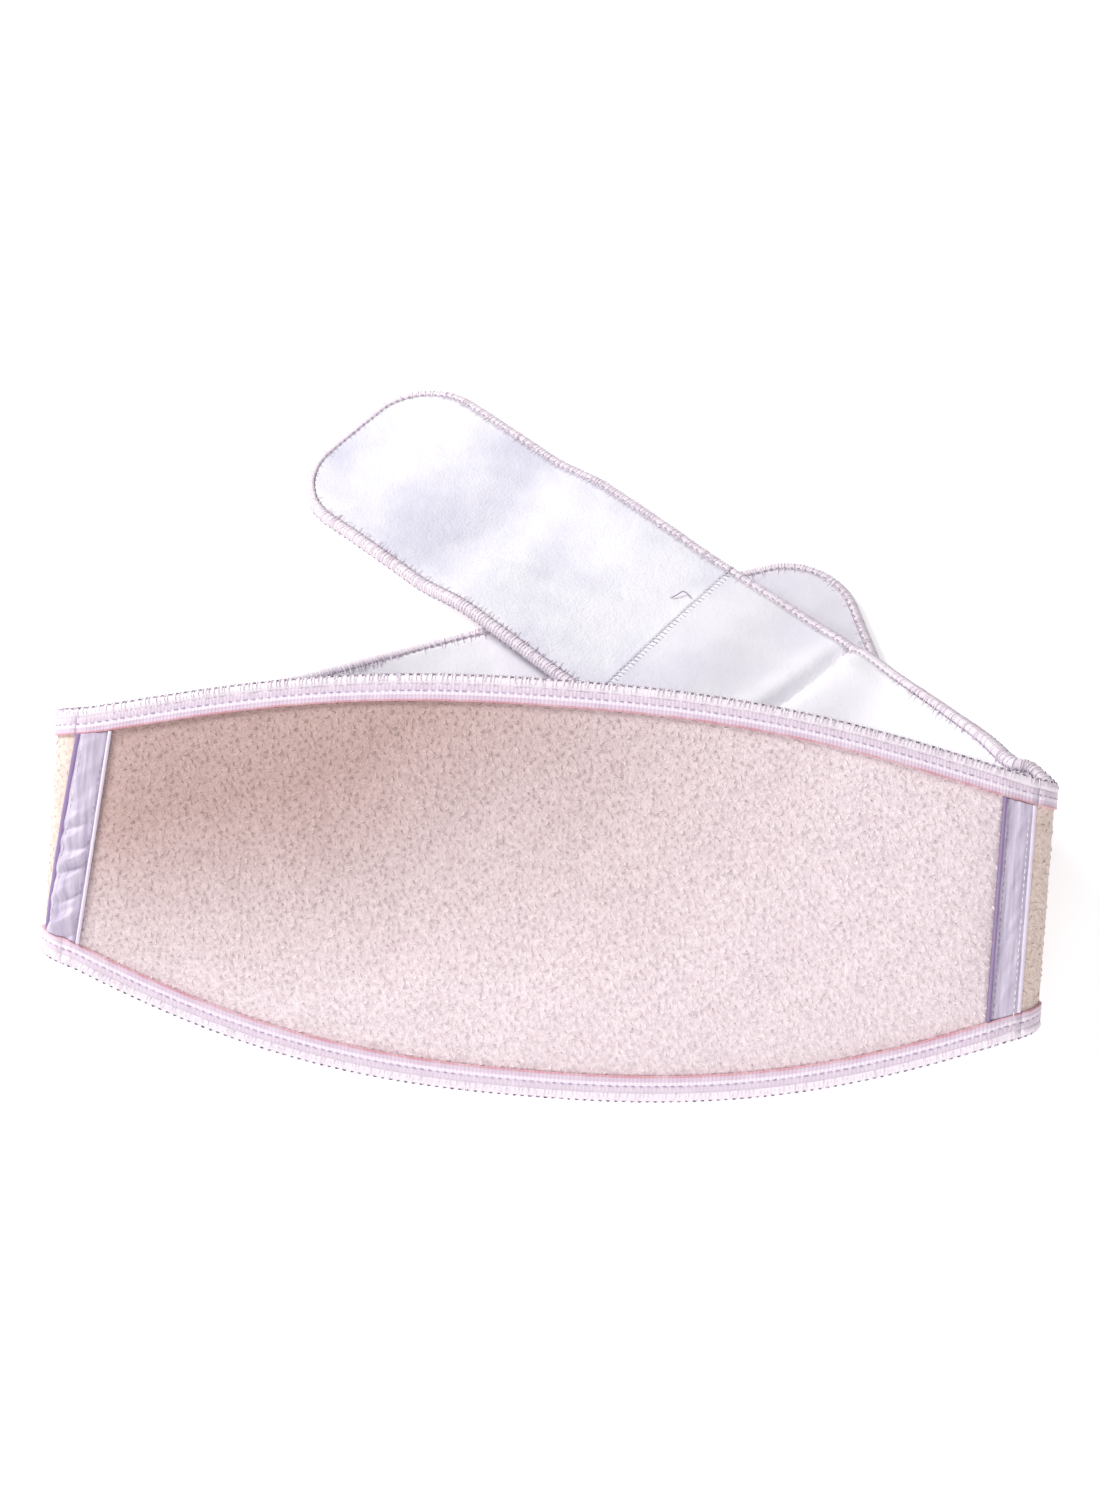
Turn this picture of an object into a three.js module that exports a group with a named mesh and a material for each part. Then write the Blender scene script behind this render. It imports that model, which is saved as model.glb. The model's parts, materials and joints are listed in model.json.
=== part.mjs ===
// Spa headband, lying collapsed on a surface as it does when it is put down: the padded
// terry front panel leans back on its lower edge, and both fabric wings turn round the
// panel's ends and cross behind it, brushed lining upwards, the right wing over the left.
//
// Frame: millimetres, +Z up, +X along the front panel to its right end, -Y towards the
// side that the panel faces. The band is one long sheet, so every layer is placed with two
// band coordinates: `along`, the distance along the band from the panel's centre (positive
// to the right), and `across`, the distance up from the band's lower edge. A third, `out`,
// is the distance from the middle of the cloth towards the terry side.
//
// Bodies: left_wing lies on the surface; front_panel turns on it at the left fold;
// right_wing turns on front_panel at the right fold; right_tip curls at the cross seam.

import * as THREE from "three";

// Driving dimensions, in millimetres and degrees.
const LEAN_DEG = 36; // the front panel's slope
const BAND_WIDTH = 60; // width of the wings and of the panel's ends
const FOLD_START = 114; // where the band starts to turn back, from the centre
const FOLD_RADIUS = 6; // of the middle of the cloth
const FOLD_CLEARANCE = 2.4; // hinge axis, outside the middle of the cloth
const LENS_REACH = 122; // where the panel's lens shape has died away
const LENS_AXIS = 55.5; // height of the lens's axis up the slope
const TOP_CROWN = 16.2; // extra height of the lens at its centre, above
const BOTTOM_CROWN = 25.3; // and below
const PANEL_LIFT = 2.1; // raises the panel's lower edge clear of the surface
const GAP = 0.3; // between touching pieces

const OVERLOCK_WIDTH = 2.5;
const TAPE_WIDTH = 3.8;
const RIBBON_START = 108.5;
const RIBBON_WIDTH = 7.5;
const PIPING_WIDTH = 0.8;
const TIP_RADIUS = 20; // rounding of the wings' ends
const CURL_AXIS_RISE = 4; // hinge axis of the right tip, above the cloth's middle

// Each wing's route from the fold: how far its upper edge flares up as it leaves the fold,
// how far its lower and upper edges go on towards the centre, points on both edges, then a
// straight run from a line across the wing, with its heading in degrees and its heights.
const RIGHT_WING = {
  side: 1,
  flare: 5,
  leaving: [6, 2],
  upper: [[104, 97.5, 34], [83, 127, 15], [63, 146, 7.6]],
  lower: [[96, 41.5, 7], [70, 65, 6.6]],
  corner: [41, 161.9, 6.6],
  headingDeg: 143.5,
  straight: 118,
  settles: { from: 44, to: 66, height: 2.15 },
};
const LEFT_WING = {
  side: -1,
  flare: 0,
  leaving: [6, 6],
  upper: [[-98, 89.7, 32], [-74.5, 107, 19], [-50, 127, 6.4]],
  lower: [[-90, 44, 4.6], [-60, 59, 3.2]],
  corner: [-19.6, 142.2, 2.75],
  headingDeg: 20.5,
  straight: 94,
  settles: { from: 0, to: 1, height: 2.75 },
};

// Layers as [inner, outer] distances from the middle of the cloth.
const PANEL_LAYERS = {
  terry: [1.0, 2.4],
  foam: [-0.9, 0.7],
  lining: [-2.1, -1.2],
  tape: [2.7, 3.2],
  overlock: [-2.4, 3.2],
};
const WING_LAYERS = {
  terry: [0.15, 1.35],
  lining: [-1.05, -0.15],
  tape: [1.65, 2.15],
  overlock: [-1.35, 2.15],
};
const SEAM_LAYERS = { ribbon: [1.6, 2.2], allowance: [-0.9, 1.3], piping: [0.9, 2.9] };
const SEAM_STITCH_LAYER = [-1.75, -1.35];
const HOOK_LAYER = [1.65, 2.75];
const HOOK_STITCH_LAYER = [1.65, 2.05];

const HOOK_PATCH = { length: 26, width: 36, fromTip: 12, stitch: 1.4 };

// Segment lengths that the grids aim at.
const STEP_ALONG = 9;
const STEP_ARC = 2.4;
const CORNER_STEPS = 6;

const COLOURS = {
  terry: 0xe8d3cf,
  shadedTerry: 0xe0cfcb,
  lining: 0xf3f0f6,
  foam: 0xf0ead8,
  ribbon: 0xc6bccd,
  piping: 0xf4eef4,
  tape: 0xe2cfdc,
  overlock: 0xeddfe6,
  hook: 0xf1eff2,
  thread: 0xf7f4f7,
};

const LEAN = THREE.MathUtils.degToRad(LEAN_DEG);
const UP_SLOPE = new THREE.Vector3(0, Math.cos(LEAN), Math.sin(LEAN));
const BEHIND = new THREE.Vector3(0, Math.sin(LEAN), -Math.cos(LEAN));
const FOLD_MIDDLE = FOLD_START + (FOLD_RADIUS * Math.PI) / 2;
const FOLD_END = FOLD_START + FOLD_RADIUS * Math.PI;
const BAND = OVERLOCK_WIDTH + GAP; // the cut cloth stops this far inside the edge
const RIBBON_END = RIBBON_START + RIBBON_WIDTH;

const smooth = (x, from, to) => THREE.MathUtils.smoothstep(x, from, to);
const mix = (a, b, share) => a + (b - a) * share;

// ---- The band's middle surface ----

/** Share of the lens's crown at a distance along the panel, 1 at its centre. */
function crown(along, power) {
  const reach = Math.min(1, Math.abs(along) / LENS_REACH);
  return (1 - reach ** 2.4) ** power;
}

/** Heights up the slope of the panel's lower and upper edges. */
function panelEdges(along) {
  return {
    lower: LENS_AXIS - BAND_WIDTH / 2 - BOTTOM_CROWN * crown(along, 1.15),
    upper: LENS_AXIS + BAND_WIDTH / 2 + TOP_CROWN * crown(along, 1.3),
  };
}

/** Width of the band at a place along it. */
function bandWidth(along) {
  const edges = panelEdges(along);
  return edges.upper - edges.lower;
}

/** The point at a distance from the centre, up the slope and behind the panel. */
function slopePoint(x, height, depth) {
  return new THREE.Vector3(x, 0, PANEL_LIFT)
    .addScaledVector(UP_SLOPE, height)
    .addScaledVector(BEHIND, depth);
}

/** A point on the panel or in one of the folds at its ends. */
function panelPoint(along, across) {
  const wing = along < 0 ? LEFT_WING : RIGHT_WING;
  const turn = Math.max(0, Math.abs(along) - FOLD_START) / FOLD_RADIUS;
  const x = Math.min(Math.abs(along), FOLD_START) + FOLD_RADIUS * Math.sin(turn);
  const depth = FOLD_RADIUS * (1 - Math.cos(turn));
  const flare = wing.flare * smooth(turn, Math.PI / 2, Math.PI) * (across / BAND_WIDTH);
  return slopePoint(wing.side * x, panelEdges(along).lower + across + flare, depth);
}

/** A wing's edge curves and its straight run, worked out from its route. */
function wingSurface(wing) {
  const heading = THREE.MathUtils.degToRad(wing.headingDeg);
  const forward = new THREE.Vector3(Math.cos(heading), Math.sin(heading), 0);
  const upward = new THREE.Vector3(wing.side * forward.y, -wing.side * forward.x, 0);
  const upperCorner = new THREE.Vector3(...wing.corner);
  const lowerCorner = upperCorner.clone().addScaledVector(upward, -BAND_WIDTH);
  const edge = (points, across, corner) => {
    const start = panelPoint(wing.side * FOLD_END, across);
    const leaving = start.clone().setX(start.x - wing.side * wing.leaving[across ? 1 : 0]);
    const run = corner.clone().addScaledVector(forward, -12);
    const inner = points.map((p) => new THREE.Vector3(...p));
    return new THREE.CatmullRomCurve3([start, leaving, ...inner, run, corner]);
  };
  const upper = edge(wing.upper, BAND_WIDTH, upperCorner);
  const lower = edge(wing.lower, 0, lowerCorner);
  const route = (upper.getLength() + lower.getLength()) / 2;
  return { ...wing, forward, upward, upperCorner, lowerCorner, upper, lower, route };
}

const WINGS = { "1": wingSurface(RIGHT_WING), "-1": wingSurface(LEFT_WING) };

/** A point on a wing, `beyond` millimetres past the end of its fold. */
function wingPoint(wing, beyond, across) {
  const share = across / BAND_WIDTH;
  if (beyond < wing.route) {
    const t = Math.max(0, beyond / wing.route);
    return wing.lower.getPointAt(t).lerp(wing.upper.getPointAt(t), share);
  }
  const run = beyond - wing.route;
  const { from, to, height } = wing.settles;
  const point = wing.lowerCorner.clone().addScaledVector(wing.forward, run);
  point.addScaledVector(wing.upward, across);
  point.z = mix(wing.corner[2], height, smooth(run, from, to));
  return point;
}

/** A point on the middle surface of the band. */
function bandPoint(along, across) {
  const out = Math.abs(along);
  if (out <= FOLD_END) return panelPoint(along, across);
  return wingPoint(WINGS[Math.sign(along)], out - FOLD_END, across);
}

/** The unit normal towards the terry side. */
function bandNormal(along, across) {
  const step = 0.4;
  const right = bandPoint(along + step, across).sub(bandPoint(along - step, across));
  const up = bandPoint(along, across + step).sub(bandPoint(along, across - step));
  return right.cross(up).normalize();
}

// ---- Closed solids laid on the band ----

/** Signed volume of an indexed closed mesh. */
function volume(positions, index) {
  const [a, b, c] = [0, 1, 2].map(() => new THREE.Vector3());
  let total = 0;
  for (let i = 0; i < index.length; i += 3) {
    a.fromArray(positions, 3 * index[i]);
    b.fromArray(positions, 3 * index[i + 1]);
    c.fromArray(positions, 3 * index[i + 2]);
    total += a.dot(b.cross(c)) / 6;
  }
  return total;
}

/** An indexed geometry with its faces pointing out. */
function closedGeometry(positions, index) {
  if (volume(positions, index) < 0) index.reverse();
  const geometry = new THREE.BufferGeometry();
  geometry.setAttribute("position", new THREE.Float32BufferAttribute(positions, 3));
  geometry.setIndex(index);
  geometry.computeVertexNormals();
  return geometry;
}

/**
 * A closed layer of cloth. `place(i, j)` gives [along, across] on a grid of
 * columns x rows, and `layer(along)` gives its [inner, outer] distances there.
 * A looped layer's last column joins its first.
 */
function clothSolid(columns, rows, place, layer, looped = false) {
  const positions = [];
  const index = [];
  const count = looped ? columns : columns + 1;
  const at = (i, j, face) => 2 * ((i % count) * (rows + 1) + j) + face;
  for (let i = 0; i < count; i++) {
    for (let j = 0; j <= rows; j++) {
      const [along, across] = place(i, j);
      const point = bandPoint(along, across);
      const normal = bandNormal(along, across);
      for (const out of layer(along)) {
        positions.push(...point.clone().addScaledVector(normal, out).toArray());
      }
    }
  }
  const quad = (a, b, c, d) => index.push(a, b, c, a, c, d);
  for (let i = 0; i < columns; i++) {
    for (let j = 0; j < rows; j++) {
      quad(at(i, j, 1), at(i + 1, j, 1), at(i + 1, j + 1, 1), at(i, j + 1, 1));
      quad(at(i, j, 0), at(i, j + 1, 0), at(i + 1, j + 1, 0), at(i + 1, j, 0));
    }
    quad(at(i, 0, 0), at(i + 1, 0, 0), at(i + 1, 0, 1), at(i, 0, 1));
    quad(at(i, rows, 1), at(i + 1, rows, 1), at(i + 1, rows, 0), at(i, rows, 0));
  }
  if (!looped) {
    const last = columns;
    for (let j = 0; j < rows; j++) {
      quad(at(0, j, 1), at(0, j + 1, 1), at(0, j + 1, 0), at(0, j, 0));
      quad(at(last, j, 0), at(last, j + 1, 0), at(last, j + 1, 1), at(last, j, 1));
    }
  }
  return closedGeometry(positions, index);
}

/** Places along the band from one end to the other, closer together in the folds. */
function stations(from, to) {
  const breaks = [-FOLD_END, -FOLD_START, FOLD_START, FOLD_END];
  const inside = breaks.filter((b) => b > from + 1 && b < to - 1);
  const marks = [from, ...inside, to];
  const list = [from];
  for (let k = 1; k < marks.length; k++) {
    const middle = Math.abs(marks[k - 1] + marks[k]) / 2;
    const inFold = middle > FOLD_START && middle < FOLD_END;
    const length = marks[k] - marks[k - 1];
    const pieces = Math.ceil(length / (inFold ? STEP_ARC : STEP_ALONG));
    for (let i = 1; i <= pieces; i++) list.push(marks[k - 1] + (length * i) / pieces);
  }
  return list;
}

/** A layer between two places along the band, set in from both its edges. */
function strip(from, to, inset, rows, layer) {
  const list = stations(from, to);
  const place = (i, j) => {
    const along = list[i];
    const low = inset(along);
    return [along, mix(low, bandWidth(along) - low, j / rows)];
  };
  return clothSolid(list.length - 1, rows, place, layer);
}

/** A narrow band along the lower (0) or upper (1) edge, `from` to `to` from that edge. */
function edging(from, to, edge, near, far, layer) {
  const list = stations(from, to);
  const place = (i, j) => {
    const distance = mix(near, far, j);
    return [list[i], edge ? bandWidth(list[i]) - distance : distance];
  };
  return clothSolid(list.length - 1, 1, place, layer);
}

/** Where the wing's end starts to round, and its end, as distances along the band. */
function tipEnd(wing) {
  const end = FOLD_END + wing.route + wing.straight;
  return { end, rounding: end - TIP_RADIUS };
}

/** Places along a wing, from `from` to where its end starts to round. */
function wingPlaces(wing, from) {
  const straightFrom = FOLD_END + wing.route;
  const list = from < straightFrom ? stations(from, straightFrom) : [from];
  const start = list[list.length - 1];
  const length = tipEnd(wing).rounding - start;
  const pieces = Math.ceil(length / STEP_ALONG);
  for (let i = 1; i <= pieces; i++) list.push(start + (length * i) / pieces);
  return list;
}

/** A wing's cloth layer from a place along the band to its rounded end. */
function wingCloth(wing, from, layer) {
  const { rounding } = tipEnd(wing);
  const radius = TIP_RADIUS - BAND;
  const places = wingPlaces(wing, from);
  for (let i = 1; i <= CORNER_STEPS; i++) {
    places.push(rounding + radius * Math.sin((i / CORNER_STEPS) * (Math.PI / 2)));
  }
  const place = (i, j) => {
    const past = Math.max(0, places[i] - rounding);
    const inset = BAND + radius - Math.sqrt(Math.max(0, radius * radius - past * past));
    return [wing.side * places[i], mix(inset, BAND_WIDTH - inset, j / 3)];
  };
  return clothSolid(places.length - 1, 3, place, wingLayer(layer));
}

/**
 * A wing's outline: along its lower edge, round its end and back along the upper edge.
 * In the rounded corners, `along` and `across` are the corner's centre.
 */
function wingOutline(wing, from) {
  const { rounding } = tipEnd(wing);
  const straight = wingPlaces(wing, from).slice(0, -1);
  const lower = straight.map((along) => ({ along, across: 0, angle: -90 }));
  for (let i = 0; i <= CORNER_STEPS; i++) {
    const angle = -90 + (90 * i) / CORNER_STEPS;
    lower.push({ along: rounding, across: TIP_RADIUS, angle });
  }
  const mirrored = (p) => ({ ...p, across: BAND_WIDTH - p.across, angle: -p.angle });
  return [...lower, ...lower.map(mirrored).reverse()];
}

/** A wing's edging in one length round its end, between two distances in from the edge. */
function wingEdging(wing, from, near, far, layer) {
  const outline = wingOutline(wing, from);
  const place = (i, j) => {
    const { along, across, angle } = outline[i];
    const turn = THREE.MathUtils.degToRad(angle);
    const distance = mix(near, far, j);
    if (across <= 0 || across >= BAND_WIDTH) {
      return [wing.side * along, angle < 0 ? distance : BAND_WIDTH - distance];
    }
    const radius = TIP_RADIUS - distance;
    return [wing.side * (along + radius * Math.cos(turn)), across + radius * Math.sin(turn)];
  };
  return clothSolid(outline.length - 1, 1, place, wingLayer(layer));
}

/** A rectangle on a wing, between two places along it and two across it. */
function patch(wing, from, to, low, high, layer) {
  const place = (i, j) => [wing.side * mix(from, to, i / 2), mix(low, high, j)];
  return clothSolid(2, 1, place, layer);
}

/** A rectangular ring of stitching just outside a patch. */
function patchRing(wing, from, to, low, high, width, layer) {
  const corners = [[0, 0], [1, 0], [1, 1], [0, 1]];
  const place = (i, j) => {
    const [a, b] = corners[i % 4];
    const grow = GAP + j * width;
    const along = mix(from - grow, to + grow, a);
    return [wing.side * along, mix(low - grow, high + grow, b)];
  };
  return clothSolid(4, 1, place, layer, true);
}

// ---- Parts ----

/** A named part with its own material. */
function part(name, geometry, colour, roughness = 0.95) {
  const material = new THREE.MeshStandardMaterial({ color: colour, roughness, metalness: 0 });
  const mesh = new THREE.Mesh(geometry, material);
  mesh.name = name;
  return mesh;
}

const wingLayer = (name) => () => WING_LAYERS[name];
const panelLayer = (name) => () => PANEL_LAYERS[name];

/** The panel's edge finish thins from the padded panel to the fold. */
function edgeLayer(name) {
  return (along) => {
    const share = smooth(Math.abs(along), RIBBON_START - 1, RIBBON_END - 1);
    return [0, 1].map((k) => mix(PANEL_LAYERS[name][k], WING_LAYERS[name][k], share));
  };
}

/** The padded front: terry, foam interlining, lining, and the finish of its two edges. */
function frontPanel() {
  const body = new THREE.Group();
  const terryEnd = RIBBON_START - PIPING_WIDTH - 2 * GAP;
  const foldStop = FOLD_MIDDLE - GAP / 2;
  const inside = () => BAND;
  const cloth = (name, end, layer, colour) =>
    body.add(part(name, strip(-end, end, inside, 4, panelLayer(layer)), colour));
  cloth("front_terry", terryEnd, "terry", COLOURS.terry);
  cloth("front_foam_interlining", terryEnd, "foam", COLOURS.foam);
  cloth("front_lining", terryEnd, "lining", COLOURS.lining);
  for (const [edge, place] of ["bottom", "top"].entries()) {
    const tape = edging(-foldStop, foldStop, edge, BAND, BAND + TAPE_WIDTH, edgeLayer("tape"));
    const thread = edging(-foldStop, foldStop, edge, 0, OVERLOCK_WIDTH, edgeLayer("overlock"));
    body.add(part(`front_${place}_tape`, tape, COLOURS.tape, 0.6));
    body.add(part(`front_${place}_overlock`, thread, COLOURS.overlock));
  }
  return body;
}

/** The seam that joins a wing to the panel, and the cloth that turns the fold. */
function foldSeam(side) {
  const body = new THREE.Group();
  const name = side > 0 ? "right" : "left";
  const span = (from, to, inset, rows, layer) =>
    side > 0
      ? strip(from, to, () => inset, rows, () => layer)
      : strip(-to, -from, () => inset, rows, () => layer);
  const underTape = BAND + TAPE_WIDTH + GAP;
  const pipingEnd = RIBBON_START - GAP;
  const ribbon = span(RIBBON_START, RIBBON_END, underTape, 4, SEAM_LAYERS.ribbon);
  const piping = span(pipingEnd - PIPING_WIDTH, pipingEnd, underTape, 4, SEAM_LAYERS.piping);
  const allowance = span(RIBBON_START, RIBBON_END, BAND, 4, SEAM_LAYERS.allowance);
  const past = RIBBON_END + GAP;
  const stop = FOLD_MIDDLE - GAP / 2;
  const terry = span(past, stop, BAND, 3, WING_LAYERS.terry);
  const lining = span(past, stop, BAND, 3, WING_LAYERS.lining);
  body.add(part(`${name}_seam_ribbon`, ribbon, COLOURS.ribbon, 0.35));
  body.add(part(`${name}_seam_piping`, piping, COLOURS.piping, 0.5));
  body.add(part(`${name}_seam_allowance`, allowance, COLOURS.lining));
  body.add(part(`${name}_fold_terry`, terry, COLOURS.shadedTerry));
  body.add(part(`${name}_fold_lining`, lining, COLOURS.lining));
  return body;
}

/** The left wing in one length, with the hook patch under its end. */
function leftWing(wing) {
  const body = new THREE.Group();
  const start = FOLD_MIDDLE + GAP / 2;
  const { end } = tipEnd(wing);
  body.add(part("left_wing_terry", wingCloth(wing, start, "terry"), COLOURS.shadedTerry));
  body.add(part("left_wing_lining", wingCloth(wing, start, "lining"), COLOURS.lining));
  const tape = wingEdging(wing, start, BAND, BAND + TAPE_WIDTH, "tape");
  const thread = wingEdging(wing, start, 0, OVERLOCK_WIDTH, "overlock");
  body.add(part("left_wing_tape", tape, COLOURS.tape, 0.6));
  body.add(part("left_wing_overlock", thread, COLOURS.overlock));
  const to = end - HOOK_PATCH.fromTip;
  const from = to - HOOK_PATCH.length;
  const low = (BAND_WIDTH - HOOK_PATCH.width) / 2;
  const high = BAND_WIDTH - low;
  const inner = HOOK_PATCH.stitch + GAP;
  const area = [from + inner, to - inner, low + inner, high - inner];
  const hooks = patch(wing, ...area, () => HOOK_LAYER);
  const ring = patchRing(wing, ...area, HOOK_PATCH.stitch, () => HOOK_STITCH_LAYER);
  body.add(part("hook_patch", hooks, COLOURS.hook, 0.7));
  body.add(part("hook_patch_stitching", ring, COLOURS.thread));
  return body;
}

/** The right wing from the fold to the cross seam. */
function rightWing(wing) {
  const body = new THREE.Group();
  const from = FOLD_MIDDLE + GAP / 2;
  const to = FOLD_END + wing.route - GAP / 2;
  const cloth = (layer) => strip(from, to, () => BAND, 3, wingLayer(layer));
  body.add(part("right_wing_terry", cloth("terry"), COLOURS.shadedTerry));
  body.add(part("right_wing_lining", cloth("lining"), COLOURS.lining));
  for (const [edge, place] of ["bottom", "top"].entries()) {
    const tape = edging(from, to, edge, BAND, BAND + TAPE_WIDTH, wingLayer("tape"));
    const thread = edging(from, to, edge, 0, OVERLOCK_WIDTH, wingLayer("overlock"));
    body.add(part(`right_wing_${place}_tape`, tape, COLOURS.tape, 0.6));
    body.add(part(`right_wing_${place}_overlock`, thread, COLOURS.overlock));
  }
  const seam = patch(wing, to - 1.2, to, BAND, BAND_WIDTH - BAND, () => SEAM_STITCH_LAYER);
  body.add(part("right_cross_seam_stitching", seam, COLOURS.thread));
  return body;
}

/** The right wing's end, with the brushed panel that the hooks grip. */
function rightTip(wing) {
  const body = new THREE.Group();
  const from = FOLD_END + wing.route + GAP / 2;
  const tape = wingEdging(wing, from, BAND, BAND + TAPE_WIDTH, "tape");
  const thread = wingEdging(wing, from, 0, OVERLOCK_WIDTH, "overlock");
  body.add(part("right_tip_terry", wingCloth(wing, from, "terry"), COLOURS.shadedTerry));
  body.add(part("right_tip_loop_panel", wingCloth(wing, from, "lining"), COLOURS.lining));
  body.add(part("right_tip_tape", tape, COLOURS.tape, 0.6));
  body.add(part("right_tip_overlock", thread, COLOURS.overlock));
  return body;
}

/** The joints' axes: two beside the folds and one over the right wing's cross seam. */
function hinges() {
  const foldX = FOLD_START + FOLD_RADIUS + FOLD_CLEARANCE;
  const fold = (side) => ({
    position: slopePoint(side * foldX, LENS_AXIS, FOLD_RADIUS),
    axis: UP_SLOPE.clone().negate(),
  });
  const { upperCorner, lowerCorner, upward } = WINGS["1"];
  const seam = upperCorner.clone().add(lowerCorner).multiplyScalar(0.5);
  seam.z += CURL_AXIS_RISE;
  return {
    left_fold: fold(-1),
    right_fold: fold(1),
    right_tip_curl: { position: seam, axis: upward.clone() },
  };
}

// ---- Assembly ----

const headband = new THREE.Group();
headband.add(frontPanel(), foldSeam(-1), foldSeam(1));
headband.add(leftWing(WINGS["-1"]), rightWing(WINGS["1"]), rightTip(WINGS["1"]));

// The origin is the middle of the footprint, on the surface that the band lies on.
const box = new THREE.Box3().setFromObject(headband, true);
const centre = box.getCenter(new THREE.Vector3());
headband.position.set(-centre.x, -centre.y, -box.min.z);
headband.updateMatrixWorld(true);

// The joints' axes in the finished frame, as the record states them.
headband.userData.hinges = Object.entries(hinges()).map(([joint, { position, axis }]) => ({
  joint,
  position: position.add(headband.position).toArray(),
  axis: axis.toArray(),
}));

export default headband;
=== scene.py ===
"""Spa headband lying collapsed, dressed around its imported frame.

A padded terry front leans back on its lower edge. Satin ribbons cover its two end seams,
and past them the band turns round a fold on each side and runs on as a wing. The wings
cross behind the front, brushed lining upwards, the right one over the left.

Every layer lies on one middle surface, `Band`, with two coordinates in millimetres:
`along` the band from the front's centre (positive to the right) and `across` it from its
lower edge. `out` is the distance from that surface towards the terry side. Sizes are in
millimetres throughout, and `MM` turns them into Blender's metres where a mesh is written.
"""

import json
import logging
import math
from collections.abc import Callable, Sequence
from dataclasses import dataclass, field
from enum import Enum

import bpy
import numpy as np
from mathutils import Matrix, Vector

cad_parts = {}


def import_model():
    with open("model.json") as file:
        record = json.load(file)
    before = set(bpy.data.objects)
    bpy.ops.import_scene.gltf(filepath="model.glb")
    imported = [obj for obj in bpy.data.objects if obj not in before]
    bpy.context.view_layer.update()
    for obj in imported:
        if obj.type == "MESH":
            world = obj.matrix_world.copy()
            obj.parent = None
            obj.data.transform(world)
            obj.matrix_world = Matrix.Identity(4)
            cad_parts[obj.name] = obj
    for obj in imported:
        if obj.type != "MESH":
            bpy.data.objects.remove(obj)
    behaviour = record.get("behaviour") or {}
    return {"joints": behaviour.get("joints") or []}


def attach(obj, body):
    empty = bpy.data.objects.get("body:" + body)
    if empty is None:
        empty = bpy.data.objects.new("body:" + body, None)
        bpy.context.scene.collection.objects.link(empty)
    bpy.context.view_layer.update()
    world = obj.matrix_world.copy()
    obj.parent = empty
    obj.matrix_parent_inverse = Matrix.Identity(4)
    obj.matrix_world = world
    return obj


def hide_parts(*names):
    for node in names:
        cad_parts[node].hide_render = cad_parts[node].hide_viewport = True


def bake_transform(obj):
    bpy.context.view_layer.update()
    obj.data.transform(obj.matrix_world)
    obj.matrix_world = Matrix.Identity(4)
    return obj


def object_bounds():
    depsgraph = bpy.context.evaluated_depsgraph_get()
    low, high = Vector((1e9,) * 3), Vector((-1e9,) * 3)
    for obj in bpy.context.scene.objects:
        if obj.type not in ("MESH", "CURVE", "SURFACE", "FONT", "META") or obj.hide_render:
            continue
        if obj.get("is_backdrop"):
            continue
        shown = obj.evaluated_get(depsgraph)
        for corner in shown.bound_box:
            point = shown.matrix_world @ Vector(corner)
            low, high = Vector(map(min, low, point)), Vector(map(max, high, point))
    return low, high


MM = 0.001
LOG = logging.getLogger("headband")

Array = np.ndarray
Colour = tuple[float, float, float]


def smoothstep(value: Array | float, start: float, end: float) -> Array:
    """Rises smoothly from 0 at start to 1 at end."""
    t = np.clip((np.asarray(value, float) - start) / (end - start), 0, 1)
    return t * t * (3 - 2 * t)


def bump(value: Array, centre: Array | float, width: float) -> Array:
    """A bell of height 1 about a centre."""
    return np.exp(-(((value - centre) / width) ** 2))


def tint(red: int, green: int, blue: int) -> Colour:
    """A colour given as it looks on a screen, turned into the linear one that shaders take."""
    channels = []
    for level in (red, green, blue):
        share = level / 255
        dark = share / 12.92
        channels.append(dark if share <= 0.04045 else ((share + 0.055) / 1.055) ** 2.4)
    return channels[0], channels[1], channels[2]


# ---- The band's middle surface ----


class Side(Enum):
    """Which end of the front a piece belongs to."""

    LEFT = -1
    RIGHT = 1


@dataclass(frozen=True)
class WingRoute:
    """How a wing runs from its fold to its end.

    Its edges pass through the upper and lower points and then run straight from the
    corner, the upper end of a line across the wing, on the given heading. They are
    already straight over the run-in before it.
    """

    side: Side
    flare: float
    leaving: tuple[float, float]
    upper: tuple[tuple[float, float, float], ...]
    lower: tuple[tuple[float, float, float], ...]
    corner: tuple[float, float, float]
    heading: float
    straight: float
    settles: tuple[float, float, float]
    run_in: float = 12


RIGHT_ROUTE = WingRoute(
    side=Side.RIGHT,
    flare=5,
    leaving=(6, 2),
    upper=((104, 97.5, 34), (83, 127, 15), (63, 146, 7.6)),
    lower=((96, 41.5, 7), (70, 65, 6.6)),
    corner=(41, 161.9, 6.6),
    heading=143.5,
    straight=118,
    settles=(44, 66, 2.15),
)
LEFT_ROUTE = WingRoute(
    side=Side.LEFT,
    flare=0,
    leaving=(6, 6),
    upper=((-98, 89.7, 32), (-74.5, 107, 19), (-50, 127, 6.4)),
    lower=((-90, 44, 4.6), (-60, 59, 3.2)),
    corner=(-19.6, 142.2, 2.75),
    heading=20.5,
    straight=94,
    settles=(0, 1, 2.75),
)


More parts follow.
